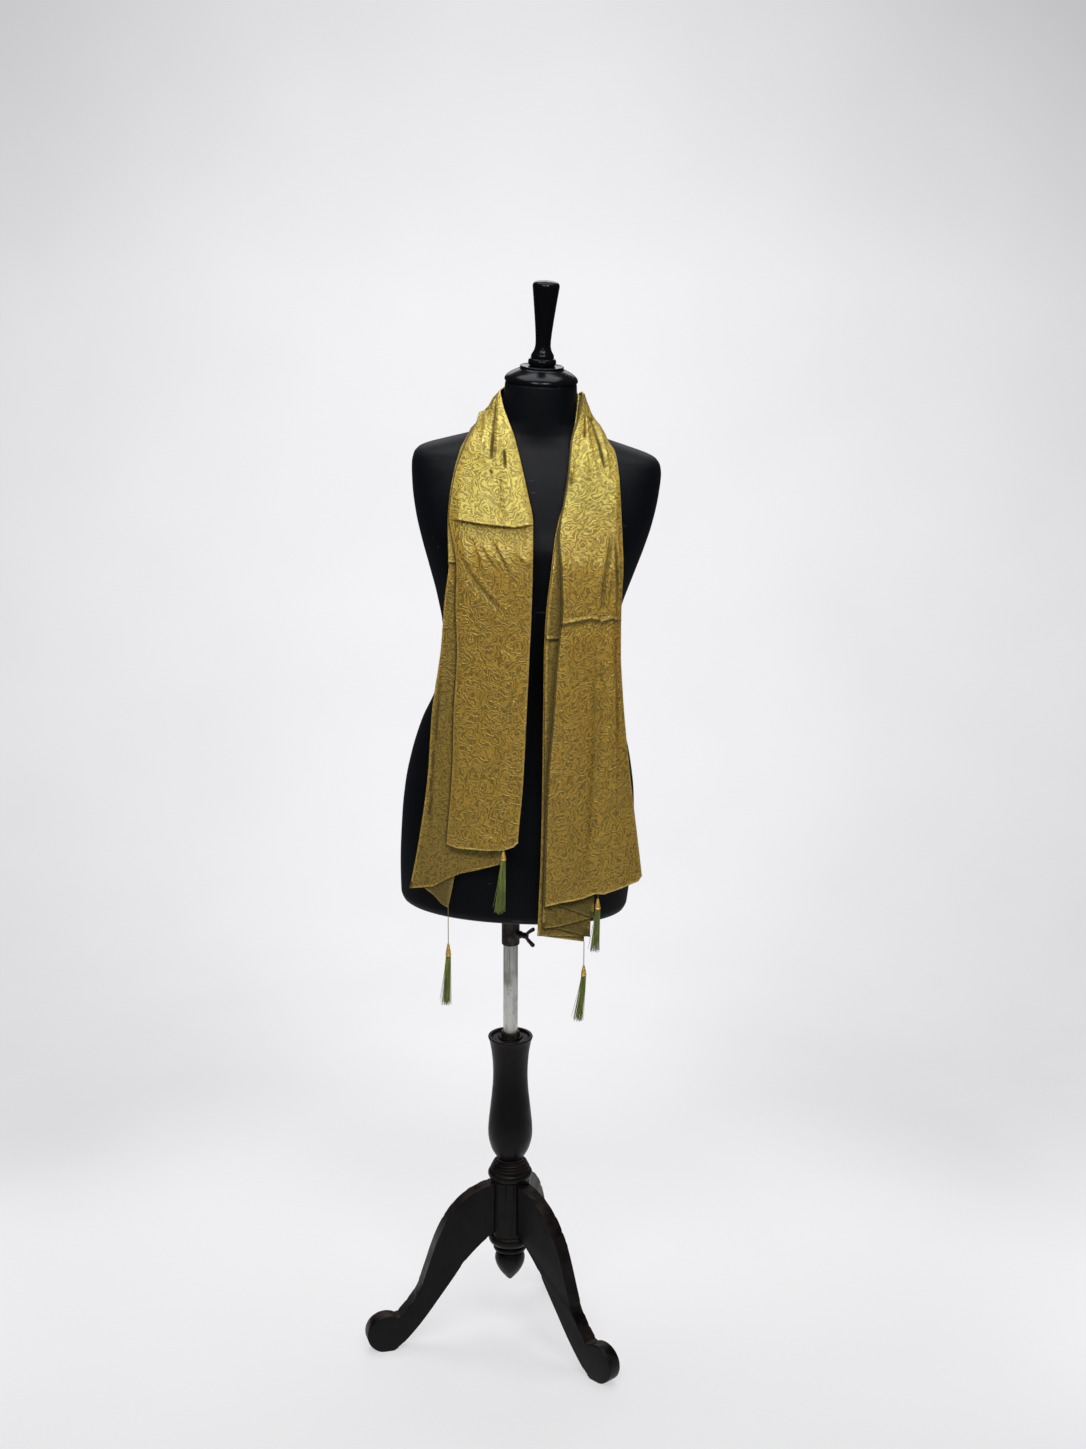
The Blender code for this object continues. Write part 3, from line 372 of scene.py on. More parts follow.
# The dress form: a papier-mache and foam body, a little short of 0.83 m tall, covered in fine black jersey.
# The cover is drawn tight over it, from under the flat base to the neck, where the cap holds it down.
FORM_AXES = POLE_AXIS @ Matrix.Translation((0.002, 0, 0.705)) @ Matrix.Rotation(math.radians(2.7), 4, "Y")
FORM_AXES = FORM_AXES @ Matrix.Translation((0, 0, -0.705))
FORM = np.array([
    # height, half width, front depth, back depth, squareness
    (0.76, 0.165, 0.102, 0.104, 2.2),
    (0.764, 0.173, 0.109, 0.111, 2.2),
    (0.775, 0.1775, 0.1125, 0.115, 2.2),
    (0.85, 0.181, 0.114, 0.119, 2.2),
    (0.9, 0.1805, 0.111, 0.118, 2.2),
    (0.95, 0.1775, 0.106, 0.112, 2.2),
    (1.0, 0.1695, 0.101, 0.1, 2.2),
    (1.05, 0.1565, 0.096, 0.089, 2.2),
    (1.1, 0.137, 0.091, 0.081, 2.2),
    (1.15, 0.1275, 0.089, 0.078, 2.2),
    (1.2, 0.13, 0.094, 0.08, 2.2),
    (1.25, 0.1405, 0.106, 0.085, 2.2),
    (1.3, 0.1555, 0.116, 0.091, 2.3),
    (1.34, 0.168, 0.115, 0.094, 2.4),
    (1.38, 0.1785, 0.103, 0.095, 2.5),
    (1.42, 0.185, 0.09, 0.093, 2.6),
    (1.452, 0.1872, 0.078, 0.0875, 2.6),
    (1.465, 0.1852, 0.072, 0.0825, 2.6),
    (1.474, 0.179, 0.068, 0.0785, 2.5),
    (1.479, 0.17, 0.065, 0.0755, 2.4),
    (1.488, 0.142, 0.06, 0.07, 2.3),
    (1.5, 0.103, 0.056, 0.064, 2.1),
    (1.512, 0.075, 0.054, 0.059, 2.0),
    (1.53, 0.058, 0.0535, 0.0555, 2.0),
    (1.5822, 0.0532, 0.0532, 0.0532, 2.0),
])
BUST_HEIGHT, BUST_ASIDE, BUST_FORWARD, BUST_WIDTH, BUST_TALL = 1.295, 0.08, 0.013, 0.04, 0.05
NECK_TUCK, TUCK_SLOPE = 1.5805, 0.8  # from this height the jersey turns in under the cap


def through(places, values, at):
    """Reads smooth curves through rows of values, with no overshoot between them."""
    places, values, at = (np.asarray(given, float) for given in (places, values, at))
    steps = np.diff(places)
    rise = np.diff(values, axis=0) / steps[:, None]
    slope = np.zeros_like(values)
    same = rise[:-1] * rise[1:] > 0
    mean = 2 * rise[:-1] * rise[1:] / np.where(same, rise[:-1] + rise[1:], 1)
    slope[1:-1] = np.where(same, mean, 0)
    slope[0], slope[-1] = rise[0], rise[-1]
    k = np.clip(np.searchsorted(places, at, "right") - 1, 0, len(steps) - 1)
    t, h = ((at - places[k]) / steps[k])[:, None], steps[k][:, None]
    return (
        (1 + 2 * t) * (1 - t) ** 2 * values[k] + t * (1 - t) ** 2 * h * slope[k]
        + t**2 * (3 - 2 * t) * values[k + 1] - t**2 * (1 - t) * h * slope[k + 1]
    )


levels = np.concatenate([
    np.linspace(0.76, 0.775, 8)[:-1], np.linspace(0.775, 1.44, 84)[:-1],
    np.linspace(1.44, 1.53, 46)[:-1], np.linspace(1.53, 1.579, 8)[:-1], (1.579, 1.5808, 1.5818, 1.5822),
])
round_turns = np.linspace(0, math.tau, 160, endpoint=False) + 0.01
bm = bmesh.new()
rings = []
for height, (half_width, front, back, square) in zip(levels, through(FORM[:, 0], FORM[:, 1:], levels)):
    if height > NECK_TUCK:
        tuck = (height - NECK_TUCK) * TUCK_SLOPE
        half_width, front, back = half_width - tuck, front - tuck, back - tuck
    across, forward = np.cos(round_turns), np.sin(round_turns)
    x = half_width * np.sign(across) * np.abs(across) ** (2 / square)
    y = np.where(forward < 0, front, back) * np.sign(forward) * np.abs(forward) ** (2 / square)
    near = ((np.abs(x) - BUST_ASIDE) / BUST_WIDTH) ** 2 + ((height - BUST_HEIGHT) / BUST_TALL) ** 2
    y -= np.where(forward < 0, BUST_FORWARD * np.exp(-near) * np.minimum(1, np.abs(forward) / 0.35), 0)
    rings.append([bm.verts.new(FORM_AXES @ Vector((a, b, height))) for a, b in zip(x, y)])
# Under the base the cover runs in to the sleeve's hole, and the bore for the pole goes on up inside
for radius, height, axes in ((0.06, 0.76, FORM_AXES), (0.0148, 0.76, FORM_AXES), (0.0145, 0.8003, POLE_AXIS),
                             (BORE, 0.8003, POLE_AXIS), (BORE, 1.25, POLE_AXIS)):
    rings.insert(0, [
        bm.verts.new(axes @ Vector((radius * math.cos(a), radius * math.sin(a), height))) for a in round_turns
    ])
for lower, higher in zip(rings, rings[1:]):
    for k in range(len(round_turns)):
        n = (k + 1) % len(round_turns)
        bm.faces.new((lower[k], lower[n], higher[n], higher[k]))
bm.faces.new(rings[0])
bm.faces.new(rings[-1])

jersey, tree, shader = new_finish("black_jersey", IOR=1.45, Specular_IOR_Level=0.15, Sheen_Weight=0.01)
shader["Sheen Tint"].default_value = (0.62, 0.74, 1.0, 1.0)
where = add(tree, "TexCoord")["Object"]
knit = add(tree, "TexWave", {
    "Vector": add(tree, "Mapping", {"Vector": where, "Scale": (1, 1, 0.55)})["Vector"],
    "Scale": 420.0, "Distortion": 1.5, "Detail": 1.0, "Detail Scale": 3.0,
}, bands_direction="X")["Fac"]
lint = spots(tree, 900, 2, 0.72, 0.78, shift=1.0)
cloud = spots(tree, 9, 3, shift=4.0)
scratch_near = add(tree, "Mapping", {"Vector": where, "Rotation": (0.3, 0.5, 0.9), "Scale": (9, 60, 60)})
scratch = add(tree, "TexNoise", {"Vector": scratch_near["Vector"], "Scale": 2.2, "Detail": 2.0})["Fac"]
scratch = ranged(tree, scratch, 0.735, 0.76)
colours = (
    (0.0009, 0.0014, 0.0024), (cloud, (0.0016, 0.0024, 0.004)), (lint, (0.03, 0.032, 0.036)),
    (scratch, (0.032, 0.033, 0.036)),
)
wire(tree, shader, colours, (cloud, 0.48, 0.56), (knit, 0.25, 0.0004))
torso = shape("jersey_torso", bm, jersey, "form", 50)
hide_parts("torso")

# The neck cap and the finial on it: two pieces of turned wood under thick black lacquer.
# The finial's screw goes down through the cap into the form's neck, and holds both.
CAP = (
    ((0, 1.5825), (0.0525, 1.5825)),
    ((0.0534, 1.5827), (0.0545, 1.5836), (0.0548, 1.585), (0.0545, 1.5868), (0.0534, 1.589), (0.0514, 1.5912),
     (0.0484, 1.5936), (0.045, 1.5958), (0.0412, 1.5978), (0.0375, 1.5996),
     (0.0343, 1.601), (0.0327, 1.6023)),
    ((0.0325, 1.6032), (0.0327, 1.605), (0.0318, 1.6059)),
    ((0.031, 1.606), (0, 1.606)),
)
FINIAL = (
    ((0, 1.6063), (0.018, 1.6063)),
    ((0.0184, 1.6064), (0.0202, 1.608), (0.0209, 1.6108), (0.0206, 1.614), (0.0188, 1.6164), (0.0172, 1.617)),
    ((0.017, 1.6176), (0.0172, 1.62), (0.0166, 1.6226), (0.0148, 1.6256), (0.0128, 1.63), (0.0114, 1.639),
     (0.0128, 1.66), (0.0163, 1.692), (0.0192, 1.716), (0.02, 1.7225), (0.0195, 1.7262), (0.0172, 1.729),
     (0.011, 1.7306), (0.005, 1.7312), (0, 1.7313)),
)
lacquer, tree, shader = new_finish("black_lacquer", IOR=1.5, Specular_IOR_Level=0.12)
shader["Specular Tint"].default_value = (0.78, 0.88, 1.0, 1.0)
cloud = spots(tree, 55, 4, 0.38, 0.62)
fine = spots(tree, 520, 3, 0.45, 0.7, along=0.3, shift=2.0)
colours = (0.0026, 0.0027, 0.0031), (fine, (0.0034, 0.0035, 0.004))
wire(tree, shader, colours, (cloud, 0.17, 0.21), (cloud, 0.005, 0.0005))
for name, node, runs in (("lacquered_cap", "neck_cap", CAP), ("lacquered_finial", "finial", FINIAL)):
    made = turned(name, runs, lacquer, "form", FORM_AXES, 128)
    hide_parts(node)

# The stole: one length of olive-gold satin jacquard, 1.8 m by 0.6 m, with a narrow rolled hem. Its colour is
# painted paler from the chest up and browner below, a painted stand-in for the overhead light's sheen. It was
# pleated lengthways into seven strips, laid round the neck, and still has the creases of its packing. Painted
# shade darkens it where it is shut in, under hems and beside edges, and painted highlights pale its fold
# edges and hems.
TURN_STEPS = 4  # faces round each fold
PITCH = 0.0018  # from one folded layer to the next
HALF_WALL, HALF_HEM = 0.00025, 0.00085  # half the thickness of the cloth, and of its rolled hem
TRIM_TOP = 1.0  # the slant of the hems is taken up below this height
NAPE_EASE = 1.8  # rows over which a fall turns into the stretch round the neck
ROW_STEP = 0.0036  # between rows of faces; at a crease and at a hem they lie closer, by these steps
CREASE_STEPS = (0.0007, 0.0014, 0.0024, 0.0036, 0.0052)
HEM_STEPS = (0, 0.0008, 0.0018, 0.0028, 0.0038, 0.0052, 0.0075)
CLEAR_OF_CREASE, CLEAR_OF_HEM = 0.0062, 0.01  # and the even rows stop this far from them
HEM_ROUND, HEM_WIDE = 0.0011, 0.0021  # the rolled hem's radius along the cloth, and how far it reaches
RAY_START, RAY_REACH = 0.0003, 0.014  # the rays that find how shut in a place is, for its painted shade
FOLD_EASE, FOLD_EASE_WIDE = 0.003, 0.007  # how far the front strip eases out, and over what width
CREASE_PULL = 0.035  # how far from a crease its line still draws the cloth
LEAN_UP, LEAN_DOWN, LEAN_UNDER = 0.045, 0.04, 0.66  # how far the lean reaches, and its share under the edge
LIP_PLACE, LIP_WIDE, LIP_EDGE = 0.0006, 0.0016, 0.0012  # where a crease's edge stands out, how sharply
WAVE_HIGH = 0.0004  # the waviness of the front
HEM_SHADE, HEM_SHADE_REACH = 0.95, 0.0046  # how dark the painted shade under a hem gets, and how far it reaches
BESIDE_SHADE, BESIDE_SOFT = 0.72, 0.004  # how dark the painted shade beside a strip's edge gets, and over what height it ends
SHADED_BELOW = 1.3  # the height under which layers hang behind one another and are painted in shade
FOLD_SHEEN, FOLD_SHEEN_WIDE, STRIP_WIDE = 0.3, 0.0014, 0.11  # how strong the painted highlight on a fold edge is, how far it reaches, on a strip this wide
HEM_SHEEN, HEM_SHEEN_WIDE = 0.62, 0.0026  # the same painted highlight at a hem
HALF_APART = 1.1  # between the halves in the weave's own plane
BAND = np.array([
    # inner edge x, y, z; outer edge x, y, z
    (0.008, -0.134, 0.74, -0.17, -0.092, 0.74),
    (0.0125, -0.134, 0.9, -0.139, -0.097, 0.9),
    (0.0202, -0.134, 1.0, -0.1255, -0.1, 1.0),
    (0.0245, -0.134, 1.1, -0.1185, -0.103, 1.1),
    (0.0287, -0.134, 1.2, -0.1045, -0.108, 1.2),
    (0.0315, -0.134, 1.27, -0.099, -0.109, 1.27),
    (0.0327, -0.1315, 1.335, -0.0925, -0.1095, 1.335),
    (0.033, -0.112, 1.385, -0.094, -0.094, 1.385),
    (0.0246, -0.094, 1.427, -0.091, -0.083, 1.427),
    (0.016, -0.079, 1.463, -0.086, -0.073, 1.455),
    (0.005, -0.061, 1.506, -0.0755, -0.0505, 1.489),
    (-0.0105, -0.036, 1.547, -0.066, -0.025, 1.504),
    (-0.016, -0.002, 1.566, -0.06, 0.004, 1.5105),
    (-0.006, 0.034, 1.566, -0.052, 0.056, 1.503),
    (0.016, 0.052, 1.567, -0.034, 0.091, 1.457),
    (0.042, 0.057, 1.567, 0.036, 0.106, 1.385),
    (0.068, 0.052, 1.566, 0.1, 0.096, 1.42),
    (0.089, 0.035, 1.564, 0.131, 0.048, 1.491),
    (0.098, -0.002, 1.56, 0.139, 0.004, 1.498),
    (0.0925, -0.038, 1.528, 0.144, -0.03, 1.4925),
    (0.0845, -0.059, 1.497, 0.151, -0.049, 1.482),
    (0.0815, -0.079, 1.46, 0.156, -0.069, 1.452),
    (0.0752, -0.094, 1.42, 0.1585, -0.082, 1.415),
    (0.063, -0.115, 1.365, 0.1612, -0.094, 1.365),
    (0.0575, -0.131, 1.32, 0.1622, -0.106, 1.32),
    (0.051, -0.134, 1.26, 0.16, -0.11, 1.26),
    (0.0482, -0.134, 1.2, 0.1603, -0.109, 1.2),
    (0.0475, -0.134, 1.1, 0.167, -0.107, 1.1),
    (0.0468, -0.134, 1.0, 0.1778, -0.104, 1.0),
    (0.0455, -0.134, 0.9, 0.1905, -0.1, 0.9),
    (0.0385, -0.134, 0.7, 0.215, -0.094, 0.7),
])
FOLDS = np.array([
    # row, turn in, fold 1, fold 2, fold 3, fold 4, turn out, angle, first reach, last reach, sinks
    (0, 0.024, 0.62, 0.17, 0.6, 0.16, 0.066, -180, 2, 1, 0, 0, 0),
    (1, 0.022, 0.71, 0.18, 0.69, 0.17, 0.066, -180, 2, 1, 0, 0, 0),
    (3, 0.022, 0.76, 0.2, 0.74, 0.19, 0.066, -180, 2, 1, 0, 0, 0),
    (5, 0.022, 0.86, 0.22, 0.82, 0.2, 0.062, -180, 2, 1, 0, 0, 0),
    (6, 0.022, 0.9, 0.22, 0.86, 0.2, 0.06, -180, 2, 1, 0, 0, 0),
    (7, 0.022, 0.97, 0.2, 0.9, 0.18, 0.056, -180, 2, 1, 0, 0, 0),
    (9, 0.022, 0.96, 0.3, 0.88, 0.26, 0.046, -180, 2, 1, 0.002, 0, 0),
    (10, 0.022, 0.88, 0.38, 0.82, 0.36, 0.036, -180, 2, 1, 0.004, 0.001, 0),
    (11, 0.022, 0.76, 0.42, 0.72, 0.4, 0.026, -180, 2, 1, 0.007, 0.008, 0.001),
    (12, 0.022, 0.68, 0.44, 0.66, 0.42, 0.022, -180, 2, 1, 0.008, 0.01, 0.001),
    (13, 0.024, 0.55, 0.48, 0.7, 0.64, 0.018, -180, 2, 1, 0.006, 0.005, 0.001),
    (14, 0.026, 0.38, 0.36, 0.68, 0.66, 0.02, -172, 1, 1, 0.002, 0, 0),
    (15, 0.028, 0.33, 0.33, 0.66, 0.66, 0.026, -12, 1, 1, 0, 0, 0),
    (16, 0.028, 0.34, 0.32, 0.64, 0.62, 0.026, 172, 1, 1, 0, 0.003, 0.003),
    (17, 0.022, 0.5, 0.16, 0.62, 0.14, 0.026, 178, 1, 2, 0, 0.01, 0.008),
    (18, 0.02, 0.6, 0.06, 0.64, 0.02, 0.026, 180, 1, 2, 0, 0.01, 0.01),
    (19, 0.022, 0.68, 0.03, 0.7, -0.01, 0.028, 180, 1, 2, 0, 0.006, 0.008),
    (20, 0.034, 0.74, 0.02, 0.76, -0.012, 0.036, 180, 1, 2, 0, 0.001, 0.004),
    (22, 0.044, 0.7, 0.012, 0.72, -0.012, 0.044, 180, 1, 2, 0, 0, 0),
    (24, 0.048, 0.62, 0.012, 0.64, 0.12, 0.054, 180, 1, 2, 0, 0, 0),
    (25, 0.05, 0.6, 0.012, 0.62, 0.185, 0.058, 180, 1, 2, 0, 0, 0),
    (27, 0.056, 0.57, 0.012, 0.59, 0.1, 0.062, 180, 1, 2, 0, 0, 0),
    (28, 0.06, 0.55, 0.02, 0.57, 0.04, 0.066, 180, 1, 2, 0, 0, 0),
    (29, 0.068, 0.53, 0.03, 0.55, 0.025, 0.07, 180, 1, 2, 0, 0, 0),
    (30, 0.076, 0.46, 0.04, 0.485, 0.03, 0.074, 180, 1, 2, 0, 0, 0),
])
RIDGES = np.array([
    # first row, last row, place across at the first, and at the last, width, height
    (7.4, 12.6, 0.16, 0.22, 0.16, 0.004),
    (7.4, 12.6, 0.62, 0.64, 0.17, 0.0045),
    (9.4, 13.4, 0.9, 0.88, 0.12, 0.0022),
    (2.0, 6.6, 0.2, 0.3, 0.22, 0.003),
    (13.6, 16.8, 0.34, 0.34, 0.08, 0.0026),
    (13.4, 16.6, 0.51, 0.53, 0.08, 0.0032),
    (13.6, 16.4, 0.68, 0.7, 0.07, 0.0026),
    (17.4, 21.6, 0.92, 0.66, 0.13, 0.004),
    (17.4, 22.6, 0.35, 0.3, 0.18, 0.0045),
    (19.0, 24.0, 0.97, 0.88, 0.09, 0.0045),
    (23.6, 30.6, 0.84, 0.78, 0.17, 0.0085),
    (24.6, 30.6, 0.36, 0.24, 0.2, 0.0045),
])
# What differs between the two halves of the stole
LEFT = SimpleNamespace(
    name="stole_left_half", rows=(0, 15),
    way=1, foot=0,  # the rows run up from the hem, which is the first of them
    free=(-1, 12),  # the rows between these hang free of the neck
    nape=10.6,  # the row where the cloth starts to turn round the neck
    face=1,  # the strip that faces front
    strips=(4, 60, 6, 8, 6, 44, 10),  # faces across each strip
    under_hem=((5, 1), (6, 5)),  # a strip in the shade of another's hem, and that other
    beside=((5, 2, 0.005),),  # a strip in the shade of an edge, the edge's place, how far the shade reaches
    shaded=((5, 0.28), (6, 0.4)),  # a strip in the shade of others all the way down, how deep
    hem=(  # place counted in strips from the inner selvedge, height
        (0, 0.8925), (1, 0.905), (1.04, 0.8995), (1.2, 0.8927), (1.45, 0.8903), (1.85, 0.8905), (2, 0.895),
        (3, 0.895), (4, 0.897), (4.8, 0.893), (5, 0.8664), (5.27, 0.854), (5.45, 0.8468), (5.6, 0.836),
        (5.75, 0.822), (6, 0.8162), (6.3, 0.819), (6.6, 0.807), (6.84, 0.793), (7, 0.7895),
    ),
    marks={  # wrinkles and pleats of each strip: half width, how far it stands out, its line (x, z)
        1: (
            (0.0011, -0.006, (-0.022, 1.5665), (-0.0353, 1.5468), (-0.0488, 1.5252)),
            (0.0026, 0.0022, (-0.0275, 1.564), (-0.042, 1.543), (-0.056, 1.518)),
            (0.0011, -0.0045, (-0.0241, 1.5633), (-0.0265, 1.533), (-0.0285, 1.508)),
            (0.0013, -0.01, (-0.028, 1.515), (-0.029, 1.5), (-0.0302, 1.479)),
            (0.0034, 0.0026, (-0.0185, 1.56), (-0.0205, 1.5058), (-0.0215, 1.47)),
            (0.004, 0.0024, (-0.0366, 1.541), (-0.042, 1.5039), (-0.046, 1.4591)),
            (0.0012, -0.01, (-0.0113, 1.492), (-0.0097, 1.468)),
            (0.002, 0.0018, (-0.0125, 1.525), (-0.014, 1.495), (-0.012, 1.46)),
            (0.0013, -0.005, (-0.0311, 1.4652), (-0.0299, 1.4595)),
            (0.0022, -0.0012, (-0.019, 1.472), (-0.0184, 1.44), (-0.0177, 1.393)),
            (0.004, 0.0016, (-0.012, 1.464), (-0.0095, 1.43), (-0.006, 1.393)),
            (0.0018, 0.0018, (-0.062, 1.385), (-0.051, 1.36), (-0.04, 1.328), (-0.034, 1.314)),
            (0.0024, 0.0012, (-0.0734, 1.39), (-0.065, 1.377), (-0.056, 1.366)),
            (0.003, -0.0022, (-0.083, 1.356), (-0.062, 1.318), (-0.044, 1.294), (-0.02, 1.268),
             (-0.002, 1.256)),
            (0.0036, 0.0013, (-0.078, 1.3613), (-0.056, 1.323), (-0.034, 1.293), (-0.01, 1.268),
             (0.006, 1.256)),
            (0.005, 0.001, (-0.088, 1.338), (-0.07, 1.302), (-0.045, 1.268), (-0.018, 1.242)),
            (0.003, 0.0024, (-0.0233, 1.3668), (-0.0082, 1.3405), (-0.0003, 1.324), (0.0124, 1.3226)),
            (0.0055, -0.0022, (0.0, 1.362), (0.01, 1.364), (0.0253, 1.38)),
            (0.0022, 0.0018, (-0.0506, 1.3748), (-0.036, 1.3823)),
            (0.0024, 0.0016, (-0.004, 1.374), (0.012, 1.35), (0.024, 1.336)),
            (0.0026, -0.0018, (-0.0463, 1.3584), (-0.0346, 1.3404), (-0.0214, 1.3225)),
            (0.0026, -0.0016, (-0.033, 1.37), (-0.019, 1.35), (-0.008, 1.328)),
            (0.011, 0.0014, (-0.02, 1.205), (0.0, 1.19), (0.012, 1.196)),
            (0.003, -0.001, (-0.0375, 1.1872), (-0.0168, 1.1868), (-0.0064, 1.1745), (0.0029, 1.1612),
             (0.0173, 1.1761)),
            (0.012, 0.0014, (-0.065, 1.1), (-0.05, 1.13)),
            (0.0022, 0.0012, (-0.014, 0.9341), (-0.006, 0.94), (0.0011, 0.9446)),
            (0.0026, 0.0012, (-0.0417, 0.9102), (-0.0241, 0.9103)),
            (0.0022, 0.001, (-0.0075, 0.9187), (-0.003, 0.9251)),
            (0.009, 0.0012, (-0.06, 0.908), (-0.02, 0.9), (0.005, 0.908)),
        ),
        5: (
            (0.0016, 0.002, (-0.0995, 1.2248), (-0.0825, 1.2489)),
            (0.002, 0.0034, (-0.1004, 1.2446), (-0.1053, 1.1167), (-0.1141, 1.0118), (-0.1204, 0.8878)),
            (0.0022, -0.004, (-0.105, 1.2), (-0.1107, 1.096), (-0.1207, 0.996), (-0.1266, 0.8905)),
            (0.004, 0.0018, (-0.1399, 0.8698), (-0.1322, 0.8907)),
            (0.0036, 0.0016, (-0.1446, 0.8504), (-0.1369, 0.8618)),
            (0.003, -0.0012, (-0.144, 0.862), (-0.133, 0.876)),
            (0.006, 0.0016, (-0.114, 0.834), (-0.104, 0.86)),
        ),
    },
    # The creases of the packing: row, strips, line (x, z), how far the cloth leans out to it, the height of
    # its edge, how deep the cloth falls back under it, and how far below
    creases=(
        (7.0, (1, 2), ((-0.09, 1.3945), (-0.0742, 1.3927), (-0.0394, 1.3881), (0.0052, 1.3845),
                       (0.033, 1.3899)), 0.01, 0.0012, 0.0026, 0.011),
        (6.06, (5, 6), ((-0.1, 1.331), (-0.0792, 1.3321)), 0.0014, 0.0024, 0.002, 0.006),
    ),
)
RIGHT = SimpleNamespace(
    name="stole_right_half", rows=(15, 30), way=-1, foot=-1, free=(18, 31), nape=19.4, face=5,
    strips=(4, 20, 6, 20, 12, 68, 5),
    under_hem=((4, 5), (3, 4), (2, 3), (1, 2)),
    beside=((4, 5, 0.011), (3, 5, 0.011)),
    shaded=((1, 0.4), (2, 0.4), (3, 0.4), (4, 0.4)),
    hem=(
        (0, 0.737), (1, 0.753), (2, 0.7455), (2.7, 0.764), (3, 0.7661), (3.3, 0.767), (4, 0.7772),
        (4.75, 0.8044), (5, 0.8035), (5.15, 0.8085), (5.38, 0.8126), (5.5, 0.8186), (5.6, 0.817),
        (5.86, 0.83), (5.96, 0.8335), (6, 0.84), (6.4, 0.838), (7, 0.8165),
    ),
    marks={
        5: (
            (0.0012, -0.005, (0.1091, 1.5389), (0.108, 1.52), (0.1074, 1.5057)),
            (0.0013, -0.009, (0.1118, 1.5386), (0.1202, 1.5238), (0.1292, 1.4956), (0.1365, 1.466)),
            (0.0026, 0.0024, (0.1162, 1.5372), (0.1276, 1.5209), (0.1389, 1.4867), (0.1438, 1.4523)),
            (0.0028, 0.002, (0.106, 1.54), (0.112, 1.508), (0.121, 1.475), (0.126, 1.45)),
            (0.002, -0.005, (0.0891, 1.464), (0.0871, 1.454), (0.0855, 1.44)),
            (0.0036, 0.0018, (0.099, 1.53), (0.095, 1.49), (0.093, 1.45)),
            (0.0036, 0.0016, (0.144, 1.46), (0.151, 1.415), (0.153, 1.39)),
            (0.002, -0.0034, (0.147, 1.3791), (0.1452, 1.3602), (0.1364, 1.3014), (0.1321, 1.2548)),
            (0.0028, 0.0022, (0.1488, 1.37), (0.1478, 1.34), (0.142, 1.29), (0.139, 1.256)),
            (0.0022, 0.0026, (0.1506, 1.36), (0.1512, 1.3195), (0.153, 1.256)),
            (0.0016, -0.004, (0.1532, 1.3692), (0.1545, 1.3376), (0.1565, 1.3), (0.1562, 1.26)),
            (0.0016, -0.002, (0.154, 1.396), (0.1564, 1.3909), (0.16, 1.389)),
            (0.0034, 0.0014, (0.078, 1.37), (0.076, 1.33), (0.074, 1.28)),
            (0.008, -0.0046, (0.1308, 1.25), (0.1288, 1.1248), (0.129, 1.0453), (0.1245, 0.9744),
             (0.1213, 0.8321)),
            (0.0032, 0.0022, (0.1495, 1.244), (0.1532, 1.18), (0.1555, 1.0297), (0.156, 0.88)),
            (0.0026, -0.0018, (0.1567, 1.2363), (0.1566, 1.1826), (0.16, 1.12), (0.164, 1.05)),
            (0.006, 0.0014, (0.084, 0.83), (0.105, 0.842)),
        ),
        3: (
            (0.003, 0.0014, (0.059, 1.29), (0.056, 1.26)),
        ),
    },
    creases=(
        (25.17, (5, 6), ((0.066, 1.2415), (0.0707, 1.243), (0.0844, 1.2486), (0.116, 1.2535),
                         (0.1287, 1.2508), (0.1308, 1.2478), (0.1498, 1.2532), (0.1509, 1.2509),
                         (0.162, 1.2465)), 0.0016, 0.0034, 0.0026, 0.009),
        (25.62, (3, 4), ((0.048, 1.2235), (0.07, 1.2225)), 0.0014, 0.0032, 0.0024, 0.007),
    ),
)


def cloth_places(strips):
    """Each point across the cloth, counted in strips from the inner selvedge, a fold at each whole number."""
    places = []
    for strip, steps in enumerate(strips):
        places += [strip + k / steps for k in range(steps + 1)]
        if strip < len(strips) - 1:
            places += [strip + 1.0] * (TURN_STEPS - 1)
    return np.array(places)


def folded(width, row, strips):
    """The band's cross-section at a row: distance across and distance off the body, for each point."""
    turn_in, fold1, fold2, fold3, fold4, turn_out, angle, reach1, reach4, *sinks = row
    angle = math.radians(angle)
    bend = math.pi * PITCH / 2
    turns = [(-math.pi, bend), (angle, bend * reach1), (-angle, bend), (angle, bend), (-angle, bend * reach4),
             (-math.pi, bend)]
    runs = [turn_in, fold1 * width, (fold1 - fold2) * width, (fold3 - fold2) * width, (fold3 - fold4) * width,
            (1 - fold4) * width, turn_out]
    radii = [0] + [length / math.pi for _, length in turns] + [0]
    runs = [max(run - before - after, 0.002) for run, before, after in zip(runs, radii, radii[1:])]
    for _ in range(3):
        heading, here, points = math.pi, np.zeros(2), []
        for strip, steps in enumerate(strips):
            forward = np.array([math.cos(heading), math.sin(heading)])
            points += [here + forward * runs[strip] * k / steps for k in range(steps + 1)]
            here = points[-1]
            if strip < len(turns):
                turn, length = turns[strip]
                half = turn / TURN_STEPS / 2
                size = length / TURN_STEPS * (math.sin(half) / half if abs(half) > 1e-6 else 1)
                for part in range(TURN_STEPS):
                    here = here + size * np.array([math.cos(heading + half), math.sin(heading + half)])
                    heading += 2 * half
                    if part < TURN_STEPS - 1:
                        points.append(here)
        points = np.array(points)
        short = width - (points[:, 0].max() - points[:, 0].min())
        forward = runs[1] + runs[3] + runs[5]
        for k in (1, 3, 5):
            runs[k] *= 1 + short / forward
    points -= points.min(axis=0)
    points[:, 1] -= through((0, 0.5, 1), np.array(sinks)[:, None], np.clip(points[:, 0] / width, 0, 1))[:, 0]
    return points


